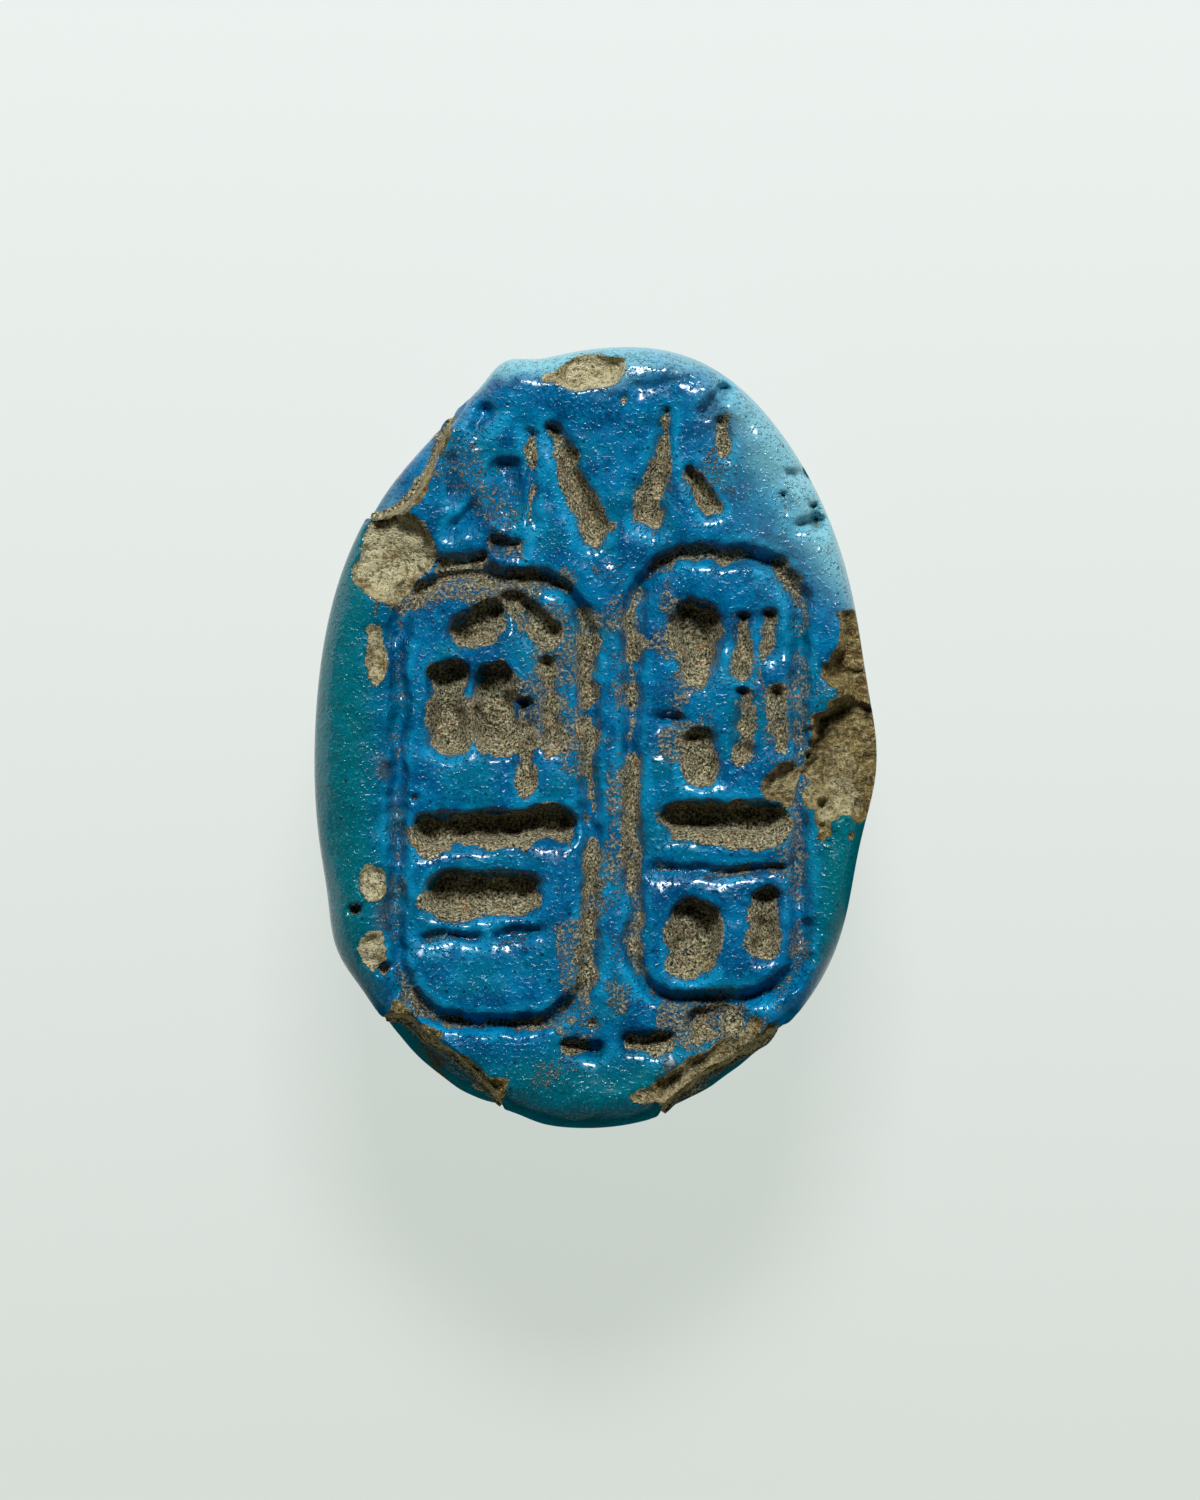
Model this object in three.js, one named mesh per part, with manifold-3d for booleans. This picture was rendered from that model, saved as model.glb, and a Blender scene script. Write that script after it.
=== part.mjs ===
// A scarab amulet of blue glazed faience, moulded and fired as one piece, about 20 mm long.
// It lies on its back with its carved seal face up: +Y is the head end, +X the right of the face, +Z up.
// The origin is at the middle of the resting plane, on the small flat spot of the wing cases.
// Sizes are in millimetres. Where a comment says shares, x and widths are shares of the face's
// half width, and y is a share of its half length.
import * as THREE from "three";
import { mergeVertices } from "three/addons/utils/BufferGeometryUtils.js";
import Module from "manifold-3d";

const wasm = await Module();
wasm.setup();

// Overall sizes
const LENGTH = 20;
const WIDTH = 14.4;
const PLATE_THICKNESS = 2.1;
const LEG_BAND_HEIGHT = 2.1;
const BACK_DEPTH = 4.8;

// Levels and half sizes that follow from them
const WAIST_Z = BACK_DEPTH;
const PLATE_Z = WAIST_Z + LEG_BAND_HEIGHT;
const FACE_Z = PLATE_Z + PLATE_THICKNESS;
const HALF_WIDTH = WIDTH / 2;
const HALF_LENGTH = LENGTH / 2;

// Plan outline: a full oval, turned a little, with swells and hollows left by the mould and fingers
const OVAL_POWER = 2.16;
const OVAL_TURN = THREE.MathUtils.degToRad(-2.8);
const OUTLINE_STEPS = 72;
const EDGE_SWELLS = [
  { at: 355, spread: 14, share: 0.05 },
  { at: 73, spread: 15, share: 0.025 },
  { at: 103, spread: 4, share: 0.036 },
  { at: 116, spread: 22, share: -0.035 },
  { at: 219, spread: 7, share: 0.029 },
  { at: 258, spread: 4, share: -0.015 },
  { at: 319, spread: 17, share: 0.043 },
];

// The plate's rim rolls over softly, broad on the left and tight on the right
const ROLL_MEAN = 0.95;
const ROLL_LEAN = 0.42;
const ROLL_DROP_SHARE = 0.55;
const ROLL_STEPS = 4;
const PLATE_UNDERCUT = 0.3;

// Flank between the plate and the wing cases, with the legs lying along it
const FLANK_INSET = 0.5;
const WAIST_INSET = 0.08;
const CHIN_INSET = 1.7;
const CHIN_SHARE = 0.25;
const JOINT_OVERLAP = 0.5;
const LEG_RADIUS = 0.52;
const LEG_PROUD = 0.44;
const LEG_SIDES = 8;
const LEG_STEPS = 12;
const LEG_TAPER_POWER = 9;

// Each leg from hip to foot: shares of the half length, and shares of the leg band's height
const LEGS = [
  { along: [0.34, 0.55, 0.72, 0.88], up: [0.1, 0.42, 0.6, 0.5] },
  { along: [0.28, 0.08, -0.12, -0.3], up: [0.1, 0.4, 0.66, 0.75] },
  { along: [-0.16, -0.4, -0.62, -0.84], up: [0.1, 0.36, 0.56, 0.45] },
];

// The back: wing cases, thorax, head, brow and eyes are shallow bowls that hang from the waist level.
// Places are shares, and depths are shares of the depth of the back.
const BOWL_STEPS = 7;
const FLAT_SHARE = 0.24;
const WING_CASES = { crown: -0.02, ahead: 0.45, behind: 1, depth: 1 };
const THORAX = { crown: 0.42, ahead: 0.84, behind: 0.05, depth: 0.8 };
const HEAD = { x: 0, y: 0.74, halfWidth: 0.44, halfLength: 0.22, depth: 0.54, sides: 24 };
const BROW = { x: 0, y: 0.9, halfWidth: 0.24, halfLength: 0.085, depth: 0.36, sides: 16 };
const EYE = { x: 0.4, y: 0.73, halfWidth: 0.12, halfLength: 0.08, depth: 0.36, sides: 12 };
const SEAM_RADIUS = 0.2;
const SEAM_STEPS = 6;
const SEAM_START = 0.7;
const SEAM_SIDES = 6;

// Bore for a string, from head to tail, placed by its share of the leg band's height
const BORE_DIAMETER = 1.7;
const BORE_SIDES = 20;
const BORE_UP = 0.3;

// Carving of the seal face, with depths as shares of the plate's thickness
const RING_GROOVE = 0.42;
const RING_DEPTH = 0.24;
const CORNER_STEPS = 5;
const STROKE_END_STEPS = 4;
const WALL_SLOPE = 0.3;
const NARROWEST_SHARE = 0.4;
const CUTTER_RISE = 1;
const SHALLOW = 0.17;
const MIDDLING = 0.27;
const DEEP = 0.4;

// The two cartouches: box sides in shares of the face, then rows of strokes in shares of the box
const LEFT_CARTOUCHE = {
  box: { left: -0.7, right: -0.022, bottom: -0.725, top: 0.415 },
  cornerRadius: 0.235,
  rows: [
    { from: [-0.29, 0.72], to: [-0.02, 0.81], wide: [0.058, 0.058], deep: DEEP },
    { from: [0.23, 0.88], to: [0.55, 0.72], wide: [0.052, 0.048], deep: MIDDLING },
    { from: [0.58, 0.6], to: [0.58, 0.25], wide: [0.03, 0.03], deep: MIDDLING },
    { from: [-0.46, 0.52], to: [-0.45, 0.28], wide: [0.07, 0.075], deep: DEEP },
    { from: [0.02, 0.5], to: [0.04, 0.29], wide: [0.078, 0.088], deep: DEEP },
    { from: [0.31, 0.42], to: [0.31, 0.07], wide: [0.03, 0.03], deep: MIDDLING },
    { from: [-0.64, -0.15], to: [0.69, -0.12], wide: [0.066, 0.066], deep: DEEP },
    { from: [-0.48, -0.445], to: [0.3, -0.43], wide: [0.076, 0.07], deep: DEEP },
    { from: [-0.68, -0.62], to: [-0.2, -0.63], wide: [0.02, 0.022], deep: SHALLOW },
    { from: [0.02, -0.625], to: [0.46, -0.6], wide: [0.022, 0.016], deep: SHALLOW },
  ],
};
const RIGHT_CARTOUCHE = {
  box: { left: 0.133, right: 0.724, bottom: -0.669, top: 0.462 },
  cornerRadius: 0.19,
  rows: [
    { from: [-0.25, 0.67], to: [-0.2, 0.51], wide: [0.088, 0.068], deep: DEEP },
    { from: [0.31, 0.71], to: [0.31, 0.46], wide: [0.025, 0.025], deep: MIDDLING },
    { from: [0.65, 0.72], to: [0.65, 0.58], wide: [0.025, 0.025], deep: MIDDLING },
    { from: [-0.62, 0.25], to: [-0.46, 0.26], wide: [0.028, 0.028], deep: SHALLOW },
    { from: [-0.2, 0.14], to: [-0.19, 0.03], wide: [0.058, 0.062], deep: MIDDLING },
    { from: [0.31, 0.36], to: [0.33, 0.1], wide: [0.026, 0.034], deep: MIDDLING },
    { from: [0.76, 0.37], to: [0.76, 0.14], wide: [0.026, 0.026], deep: MIDDLING },
    { from: [-0.44, -0.21], to: [0.62, -0.2], wide: [0.064, 0.064], deep: DEEP },
    { from: [-0.74, -0.43], to: [0.8, -0.415], wide: [0.02, 0.02], deep: SHALLOW },
    { from: [-0.28, -0.66], to: [-0.28, -0.82], wide: [0.088, 0.078], deep: DEEP },
    { from: [0.58, -0.56], to: [0.58, -0.77], wide: [0.044, 0.044], deep: DEEP },
  ],
};

// Plumes above the rings and ties below them, in shares
const CREST_AND_TIES = [
  { from: [-0.313, 0.665], to: [-0.313, 0.57], wide: [0.06, 0.072], deep: SHALLOW },
  { from: [-0.232, 0.77], to: [-0.23, 0.55], wide: [0.02, 0.02], deep: SHALLOW },
  { from: [-0.145, 0.785], to: [-0.015, 0.525], wide: [0.03, 0.05], deep: MIDDLING },
  { from: [-0.545, 0.435], to: [-0.41, 0.445], wide: [0.034, 0.03], deep: MIDDLING },
  { from: [-0.36, 0.48], to: [-0.28, 0.482], wide: [0.028, 0.028], deep: MIDDLING },
  { from: [0.255, 0.835], to: [0.19, 0.56], wide: [0.016, 0.052], deep: MIDDLING },
  { from: [0.34, 0.66], to: [0.41, 0.575], wide: [0.032, 0.032], deep: MIDDLING },
  { from: [0.448, 0.79], to: [0.445, 0.73], wide: [0.026, 0.026], deep: SHALLOW },
  { from: [0.448, 0.885], to: [0.385, 0.825], wide: [0.016, 0.016], deep: MIDDLING },
  { from: [0.16, 0.895], to: [0.33, 0.905], wide: [0.018, 0.016], deep: SHALLOW },
  { from: [-0.02, -0.53], to: [-0.034, -0.655], wide: [0.034, 0.034], deep: SHALLOW },
  { from: [-0.105, -0.798], to: [-0.002, -0.796], wide: [0.026, 0.026], deep: MIDDLING },
  { from: [0.128, -0.788], to: [0.245, -0.778], wide: [0.034, 0.034], deep: MIDDLING },
  { from: [0.39, -0.74], to: [0.46, -0.73], wide: [0.076, 0.076], deep: MIDDLING },
];

// Where the plate's rim has broken away right through, in shares, with a depth past its underside
const THROUGH = 1.04;
const BREAKS = [
  { from: [-0.71, 0.873], to: [-0.85, 0.65], wide: [0.19, 0.2], deep: THROUGH },
  { from: [-0.8, -0.86], to: [-0.515, -1.03], wide: [0.16, 0.17], deep: THROUGH },
  { from: [0.76, -0.885], to: [0.44, -1.03], wide: [0.25, 0.24], deep: THROUGH },
];

// Chips through the glaze: place and half sizes in shares, turn in degrees, depth as a share of the
// plate's thickness
const CHIPS = [
  { x: 0.034, y: 0.962, half: [0.113, 0.085], turn: 0, deep: 0.26 },
  { x: -0.745, y: 0.475, half: [0.2, 0.15], turn: 25, deep: 0.36 },
  { x: -0.77, y: 0.21, half: [0.04, 0.15], turn: 5, deep: 0.13 },
  { x: 0.94, y: -0.045, half: [0.24, 0.31], turn: 0, deep: 0.5 },
  { x: 0.97, y: 0.17, half: [0.11, 0.27], turn: 4, deep: 0.42 },
  { x: 0.71, y: -0.11, half: [0.1, 0.12], turn: 0, deep: 0.14 },
  { x: -0.8, y: -0.376, half: [0.055, 0.07], turn: 10, deep: 0.2 },
  { x: -0.765, y: -0.56, half: [0.05, 0.07], turn: 0, deep: 0.3 },
  { x: -0.66, y: -0.72, half: [0.12, 0.06], turn: -35, deep: 0.2 },
  { x: -0.345, y: -0.905, half: [0.09, 0.07], turn: 20, deep: 0.36 },
  { x: 0.39, y: -0.835, half: [0.22, 0.075], turn: 36, deep: 0.3 },
  { x: 0.745, y: 0.62, half: [0.07, 0.035], turn: 40, deep: 0.36 },
];
const CHIP_SIDES = 14;
const CHIP_STEPS = 3;
const CHIP_FLOOR_SHARE = 0.3;
const CHIP_RAGGEDNESS = 0.12;
const CHIP_VARIETY = 20;

// Vertices of one piece closer than this are one vertex
const WELD = 1e-4;

const GLAZE = new THREE.MeshStandardMaterial({ color: 0x1a74b4, roughness: 0.28, metalness: 0 });

// A closed three.js geometry as a solid that can be joined and cut
function solid(geometry) {
  const bare = geometry.index ? geometry.toNonIndexed() : geometry.clone();
  bare.deleteAttribute("normal");
  bare.deleteAttribute("uv");
  const merged = mergeVertices(bare, WELD);
  return new wasm.Manifold(
    new wasm.Mesh({
      numProp: 3,
      vertProperties: merged.attributes.position.array,
      triVerts: new Uint32Array(merged.index.array),
    }),
  );
}

// A finished solid as a three.js geometry
function geometryOf(made) {
  const mesh = made.getMesh();
  const geometry = new THREE.BufferGeometry();
  geometry.setAttribute("position", new THREE.BufferAttribute(mesh.vertProperties, 3));
  geometry.setIndex(new THREE.BufferAttribute(mesh.triVerts, 1));
  geometry.computeVertexNormals();
  return geometry;
}

function centreOf(ring) {
  return ring.reduce((sum, p) => sum.add(p), new THREE.Vector3()).divideScalar(ring.length);
}

// A closed body through rings of points that each run anticlockwise seen from the last ring's end
function loft(rings) {
  const count = rings[0].length;
  const last = (rings.length - 1) * count;
  const startCentre = rings.length * count;
  const endCentre = startCentre + 1;
  const faces = [];
  for (let i = 0; i < count; i++) {
    const next = (i + 1) % count;
    for (let from = 0; from < last; from += count) {
      faces.push(from + i, from + next, from + next + count);
      faces.push(from + i, from + next + count, from + i + count);
    }
    faces.push(startCentre, next, i);
    faces.push(endCentre, last + i, last + next);
  }
  const points = [...rings.flat(), centreOf(rings[0]), centreOf(rings.at(-1))];
  const geometry = new THREE.BufferGeometry().setFromPoints(points);
  geometry.setIndex(faces);
  return solid(geometry);
}

// Flat points lifted to a height
function ringAt(points, z) {
  return points.map((p) => new THREE.Vector3(p.x, p.y, z));
}

function ellipse(x, y, halfWidth, halfLength, sides) {
  return Array.from({ length: sides }, (_, i) => {
    const turn = (i / sides) * 2 * Math.PI;
    return new THREE.Vector2(x + halfWidth * Math.cos(turn), y + halfLength * Math.sin(turn));
  });
}

// Radius of the turned oval with its swells, before it is fitted to the length and width
function roughRadius(degrees) {
  const angle = THREE.MathUtils.degToRad(degrees) - OVAL_TURN;
  const across = Math.abs(Math.cos(angle) / HALF_WIDTH) ** OVAL_POWER;
  const along = Math.abs(Math.sin(angle) / HALF_LENGTH) ** OVAL_POWER;
  const swell = EDGE_SWELLS.reduce((sum, { at, spread, share }) => {
    const away = ((degrees - at + 540) % 360) - 180;
    return sum + share * Math.exp(-((away / spread) ** 2));
  }, 1);
  return swell * (across + along) ** (-1 / OVAL_POWER);
}

const DEGREES = Array.from({ length: OUTLINE_STEPS }, (_, i) => (i * 360) / OUTLINE_STEPS);

// The plan outline, moved and stretched so that it fills the length and width exactly
function planOutline() {
  const rough = DEGREES.map((degrees) => {
    const turn = THREE.MathUtils.degToRad(degrees);
    return new THREE.Vector2(Math.cos(turn), Math.sin(turn)).multiplyScalar(roughRadius(degrees));
  });
  const box = new THREE.Box2().setFromPoints(rough);
  const middle = box.getCenter(new THREE.Vector2());
  const size = box.getSize(new THREE.Vector2());
  const stretch = new THREE.Vector2(WIDTH / size.x, LENGTH / size.y);
  return rough.map((p) => p.sub(middle).multiply(stretch));
}

const OUTLINE = planOutline();

// The outline drawn in towards the middle by a distance that may vary round it
function drawnIn(inset) {
  return OUTLINE.map((p, i) => p.clone().setLength(p.length() - inset(DEGREES[i])));
}

function rollWidth(degrees) {
  return ROLL_MEAN - ROLL_LEAN * Math.cos(THREE.MathUtils.degToRad(degrees));
}

// The seal plate: an undercut edge, a soft roll round the rim and a flat face
function sealPlate() {
  const drop = ROLL_DROP_SHARE * PLATE_THICKNESS;
  const rings = [ringAt(drawnIn(() => PLATE_UNDERCUT), PLATE_Z)];
  for (let step = 0; step <= ROLL_STEPS; step++) {
    const turn = ((step / ROLL_STEPS) * Math.PI) / 2;
    const inset = (degrees) => rollWidth(degrees) * (1 - Math.cos(turn));
    rings.push(ringAt(drawnIn(inset), FACE_Z - drop * (1 - Math.sin(turn))));
  }
  return loft(rings);
}

// The flank that the legs lie on, from a chin inside the back to inside the plate
function flank() {
  const wall = drawnIn(() => FLANK_INSET);
  return loft([
    ringAt(drawnIn(() => CHIN_INSET), WAIST_Z - CHIN_SHARE * BACK_DEPTH),
    ringAt(wall, WAIST_Z),
    ringAt(wall, PLATE_Z + JOINT_OVERLAP),
  ]);
}

// A bowl below a level: its rim shrinks towards the crown point along a quarter circle, to a flat floor
function bowl(rim, crown, level, depth, rise, steps, floorShare) {
  const lastTurn = Math.acos(floorShare);
  const rings = [];
  for (let step = steps; step >= 0; step--) {
    const turn = (lastTurn * step) / steps;
    const fallen = (depth * Math.sin(turn)) / Math.sin(lastTurn);
    const shrunk = rim.map((p) => crown.clone().lerp(p, Math.cos(turn)));
    rings.push(ringAt(shrunk, level - fallen));
  }
  rings.push(ringAt(rim, level + rise));
  return loft(rings);
}

// Wing cases or thorax: a bowl on the outline, drawn in ahead of the middle and behind it
function shell({ crown, ahead, behind, depth }) {
  const rim = drawnIn(() => WAIST_INSET).map(
    (p) => new THREE.Vector2(p.x, p.y * (p.y > 0 ? ahead : behind)),
  );
  const middle = new THREE.Vector2(0, crown * HALF_LENGTH);
  return bowl(rim, middle, WAIST_Z, depth * BACK_DEPTH, JOINT_OVERLAP, BOWL_STEPS, FLAT_SHARE);
}

// Head, brow or eye: an oval bowl
function knob({ x, y, halfWidth, halfLength, depth, sides }) {
  const middle = new THREE.Vector2(x * HALF_WIDTH, y * HALF_LENGTH);
  const rim = ellipse(
    middle.x,
    middle.y,
    halfWidth * HALF_WIDTH,
    halfLength * HALF_LENGTH,
    sides,
  );
  return bowl(rim, middle, WAIST_Z, depth * BACK_DEPTH, JOINT_OVERLAP, BOWL_STEPS, FLAT_SHARE);
}

// A rod along a smooth path, with its radius given by a function of the share of its length
function rod(knots, radiusAt, sides, steps) {
  const path = new THREE.CatmullRomCurve3(knots);
  const frames = path.computeFrenetFrames(steps);
  const rings = frames.tangents.map((_, step) => {
    const share = step / steps;
    const centre = path.getPointAt(share);
    return ellipse(0, 0, radiusAt(share), radiusAt(share), sides).map((p) =>
      centre
        .clone()
        .addScaledVector(frames.normals[step], p.x)
        .addScaledVector(frames.binormals[step], p.y),
    );
  });
  return loft(rings);
}

// Point on the outline's side 1 or -1 at a share of the half length
function outlinePoint(side, share) {
  const target = share * HALF_LENGTH;
  const flankSide = OUTLINE.filter((p) => p.x * side > 0);
  const above = flankSide.filter((p) => p.y >= target).reduce((a, b) => (b.y < a.y ? b : a));
  const below = flankSide.filter((p) => p.y < target).reduce((a, b) => (b.y > a.y ? b : a));
  return below.clone().lerp(above, (target - below.y) / (above.y - below.y));
}

// A leg folded along the flank, standing a little proud of it and thinning to round ends
function leg(side, { along, up }) {
  const inset = FLANK_INSET + LEG_RADIUS - LEG_PROUD;
  const knots = along.map((share, i) => {
    const edge = outlinePoint(side, share);
    const centre = edge.setLength(edge.length() - inset);
    return new THREE.Vector3(centre.x, centre.y, WAIST_Z + up[i] * LEG_BAND_HEIGHT);
  });
  const radiusAt = (share) => {
    const fromMiddle = Math.abs(2 * share - 1);
    return LEG_RADIUS * Math.max(1 - fromMiddle ** LEG_TAPER_POWER, NARROWEST_SHARE);
  };
  return rod(knots, radiusAt, LEG_SIDES, LEG_STEPS);
}

// The seam between the wing cases, from the thorax over the crown to the tail
function wingSeam() {
  const lastTurn = Math.acos(FLAT_SHARE);
  const crownY = WING_CASES.crown * HALF_LENGTH;
  const reachTo = (y, turn) => {
    const fallen = (WING_CASES.depth * BACK_DEPTH * Math.sin(turn)) / Math.sin(lastTurn);
    return new THREE.Vector3(0, crownY + (y - crownY) * Math.cos(turn), WAIST_Z - fallen);
  };
  const knots = [];
  for (let step = 0; step <= SEAM_STEPS; step++) {
    const turn = lastTurn * THREE.MathUtils.lerp(SEAM_START, 1, step / SEAM_STEPS);
    knots.push(reachTo(WING_CASES.ahead * HALF_LENGTH, turn));
  }
  for (let step = 2 * SEAM_STEPS; step >= 0; step--) {
    knots.push(reachTo(WAIST_INSET - HALF_LENGTH, (lastTurn * step) / (2 * SEAM_STEPS)));
  }
  return rod(knots, () => SEAM_RADIUS, SEAM_SIDES, 2 * knots.length);
}

function stringBore() {
  const radius = BORE_DIAMETER / 2;
  const bore = new THREE.CylinderGeometry(radius, radius, LENGTH + 2 * CUTTER_RISE, BORE_SIDES);
  bore.translate(0, 0, WAIST_Z + BORE_UP * LEG_BAND_HEIGHT);
  return solid(bore);
}

// A cutter with sloping walls: narrow at the bottom of the cut, full size from the face up
function faceCutter(outlineAt, deep) {
  const depth = deep * PLATE_THICKNESS;
  return loft([
    ringAt(outlineAt(WALL_SLOPE * depth), FACE_Z - depth),
    ringAt(outlineAt(0), FACE_Z),
    ringAt(outlineAt(0), FACE_Z + CUTTER_RISE),
  ]);
}

// Outline of a stroke with round ends of two radii, anticlockwise
function strokeOutline(from, to, radii, shrink) {
  const heading = Math.atan2(to.y - from.y, to.x - from.x);
  const narrowed = (radius) => Math.max(radius - shrink, radius * NARROWEST_SHARE);
  const ends = [
    { centre: to, radius: narrowed(radii[1]), start: heading - Math.PI / 2 },
    { centre: from, radius: narrowed(radii[0]), start: heading + Math.PI / 2 },
  ];
  return ends.flatMap(({ centre, radius, start }) =>
    Array.from({ length: STROKE_END_STEPS + 1 }, (_, step) => {
      const turn = start + (Math.PI * step) / STROKE_END_STEPS;
      return new THREE.Vector2(
        centre.x + radius * Math.cos(turn),
        centre.y + radius * Math.sin(turn),
      );
    }),
  );
}

function stroke({ from, to, wide, deep }, place) {
  const radii = wide.map((share) => share * HALF_WIDTH);
  const outlineAt = (shrink) => strokeOutline(place(from), place(to), radii, shrink);
  return faceCutter(outlineAt, deep);
}

// Outline of a box with round corners, anticlockwise, grown by a distance
function roundedBox(box, cornerRadius, grow) {
  const radius = cornerRadius + grow;
  const corners = [
    [box.right - cornerRadius, box.top - cornerRadius],
    [box.left + cornerRadius, box.top - cornerRadius],
    [box.left + cornerRadius, box.bottom + cornerRadius],
    [box.right - cornerRadius, box.bottom + cornerRadius],
  ];
  return corners.flatMap(([x, y], quarter) =>
    Array.from({ length: CORNER_STEPS + 1 }, (_, step) => {
      const turn = ((quarter + step / CORNER_STEPS) * Math.PI) / 2;
      return new THREE.Vector2(x + radius * Math.cos(turn), y + radius * Math.sin(turn));
    }),
  );
}

// A cartouche: the groove round its ring, and the rows of strokes inside it
function cartouche({ box, cornerRadius, rows }) {
  const real = {
    left: box.left * HALF_WIDTH,
    right: box.right * HALF_WIDTH,
    bottom: box.bottom * HALF_LENGTH,
    top: box.top * HALF_LENGTH,
  };
  const corner = cornerRadius * HALF_WIDTH;
  const outer = (shrink) => roundedBox(real, corner, RING_GROOVE / 2 - shrink);
  const inner = (shrink) => roundedBox(real, corner, shrink - RING_GROOVE / 2);
  const groove = faceCutter(outer, RING_DEPTH).subtract(faceCutter(inner, RING_DEPTH));
  const inBox = ([u, v]) =>
    new THREE.Vector2(
      THREE.MathUtils.lerp(real.left, real.right, (u + 1) / 2),
      THREE.MathUtils.lerp(real.bottom, real.top, (v + 1) / 2),
    );
  return [groove, ...rows.map((row) => stroke(row, inBox))];
}

// A chip: a shallow bowl with a ragged rim
function chip({ x, y, half, turn, deep }) {
  const middle = new THREE.Vector2(x * HALF_WIDTH, y * HALF_LENGTH);
  const raggedness = (round) =>
    1 +
    CHIP_RAGGEDNESS *
      (Math.sin(2 * round + CHIP_VARIETY * x) + Math.sin(3 * round + CHIP_VARIETY * y));
  const rim = ellipse(0, 0, half[0] * HALF_WIDTH, half[1] * HALF_WIDTH, CHIP_SIDES).map((p, i) =>
    p
      .multiplyScalar(raggedness((i / CHIP_SIDES) * 2 * Math.PI))
      .rotateAround(new THREE.Vector2(), THREE.MathUtils.degToRad(turn))
      .add(middle),
  );
  const depth = deep * PLATE_THICKNESS;
  return bowl(rim, middle, FACE_Z, depth, CUTTER_RISE, CHIP_STEPS, CHIP_FLOOR_SHARE);
}

function scarab() {
  const onFace = ([x, y]) => new THREE.Vector2(x * HALF_WIDTH, y * HALF_LENGTH);
  const added = [
    flank(),
    shell(WING_CASES),
    shell(THORAX),
    knob(HEAD),
    knob(BROW),
    ...[1, -1].map((side) => knob({ ...EYE, x: side * EYE.x })),
    ...[1, -1].flatMap((side) => LEGS.map((each) => leg(side, each))),
  ];
  const cut = [
    stringBore(),
    wingSeam(),
    ...cartouche(LEFT_CARTOUCHE),
    ...cartouche(RIGHT_CARTOUCHE),
    ...[...CREST_AND_TIES, ...BREAKS].map((each) => stroke(each, onFace)),
    ...CHIPS.map(chip),
  ];
  const whole = added.reduce((sum, piece) => sum.add(piece), sealPlate());
  return cut.reduce((left, piece) => left.subtract(piece), whole);
}

const amulet = new THREE.Mesh(geometryOf(scarab()), GLAZE);
amulet.name = "scarab";

const group = new THREE.Group();
group.add(amulet);

export default group;
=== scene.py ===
# %% [markdown]
# # A scarab amulet of blue glazed faience
# A bead and seal as long as a thumbnail: a beetle on one side, a flat carved oval on the other. A paste of
# crushed quartz was pressed in a mould, pierced from head to tail for a string, and fired under a blue
# alkaline glaze. It lies on its back, seal face up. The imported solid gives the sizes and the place, and this
# notebook makes the fired, worn and dirty skin.
# %% Load the frame
import itertools
import math

import bpy
import numpy as np
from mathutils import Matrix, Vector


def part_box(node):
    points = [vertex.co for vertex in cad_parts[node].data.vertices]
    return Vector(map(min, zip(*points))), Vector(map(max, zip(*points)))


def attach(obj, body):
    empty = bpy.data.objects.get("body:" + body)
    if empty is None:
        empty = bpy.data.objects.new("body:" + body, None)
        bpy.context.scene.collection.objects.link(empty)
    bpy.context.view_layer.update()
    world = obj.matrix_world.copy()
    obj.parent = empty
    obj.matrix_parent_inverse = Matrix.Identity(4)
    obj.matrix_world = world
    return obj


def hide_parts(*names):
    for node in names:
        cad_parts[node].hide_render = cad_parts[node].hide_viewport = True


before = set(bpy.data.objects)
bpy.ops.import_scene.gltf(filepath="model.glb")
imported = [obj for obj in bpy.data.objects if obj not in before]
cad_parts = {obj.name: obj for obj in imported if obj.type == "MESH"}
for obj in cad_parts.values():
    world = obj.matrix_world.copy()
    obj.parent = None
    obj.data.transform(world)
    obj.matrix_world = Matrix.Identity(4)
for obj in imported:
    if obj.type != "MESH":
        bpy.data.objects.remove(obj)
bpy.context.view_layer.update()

NODE = "scarab"
METRE = 0.001

# %% [markdown]
# ## Sizes
# Everything is in millimetres, and is turned into metres when a mesh is made. Length, width and height come
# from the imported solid. The others repeat the solid's own, because the skin has to lie on it.
# %% Sizes from the frame
lowest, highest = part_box(NODE)
WIDTH, LENGTH, FACE_Z = (np.array(highest - lowest) / METRE).tolist()
HALF_WIDTH = WIDTH / 2
HALF_LENGTH = LENGTH / 2
PLATE_THICKNESS = 2.1
LEG_BAND_HEIGHT = 2.1
PLATE_Z = FACE_Z - PLATE_THICKNESS
WAIST_Z = PLATE_Z - LEG_BAND_HEIGHT
BACK_DEPTH = WAIST_Z
print(f"scarab {WIDTH:.2f} x {LENGTH:.2f} x {FACE_Z:.2f} mm, plate from {PLATE_Z:.2f}, waist at {WAIST_Z:.2f}")

# %% [markdown]
# ## Helpers for shaping
# A worn surface is mostly soft steps and unevenness. Unevenness is random heights on a lattice, blended
# between its points, in layers that are each finer and weaker. All are seeded, so every run gives the same
# amulet.
# %% Soft steps and unevenness
NOISE_TABLE = 4096
NOISE_PRIMES = (73856093, 19349663, 83492791)


def soft_step(start, end, value):
    """0 at start and before, 1 at end and after, with the cubic 3t^2 - 2t^3 between them."""
    share = np.clip((value - start) / (end - start), 0, 1)
    return share * share * (3 - 2 * share)


def blend(first, second, share):
    """The first value where share is 0, the second where it is 1."""
    return first + (second - first) * share


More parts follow.
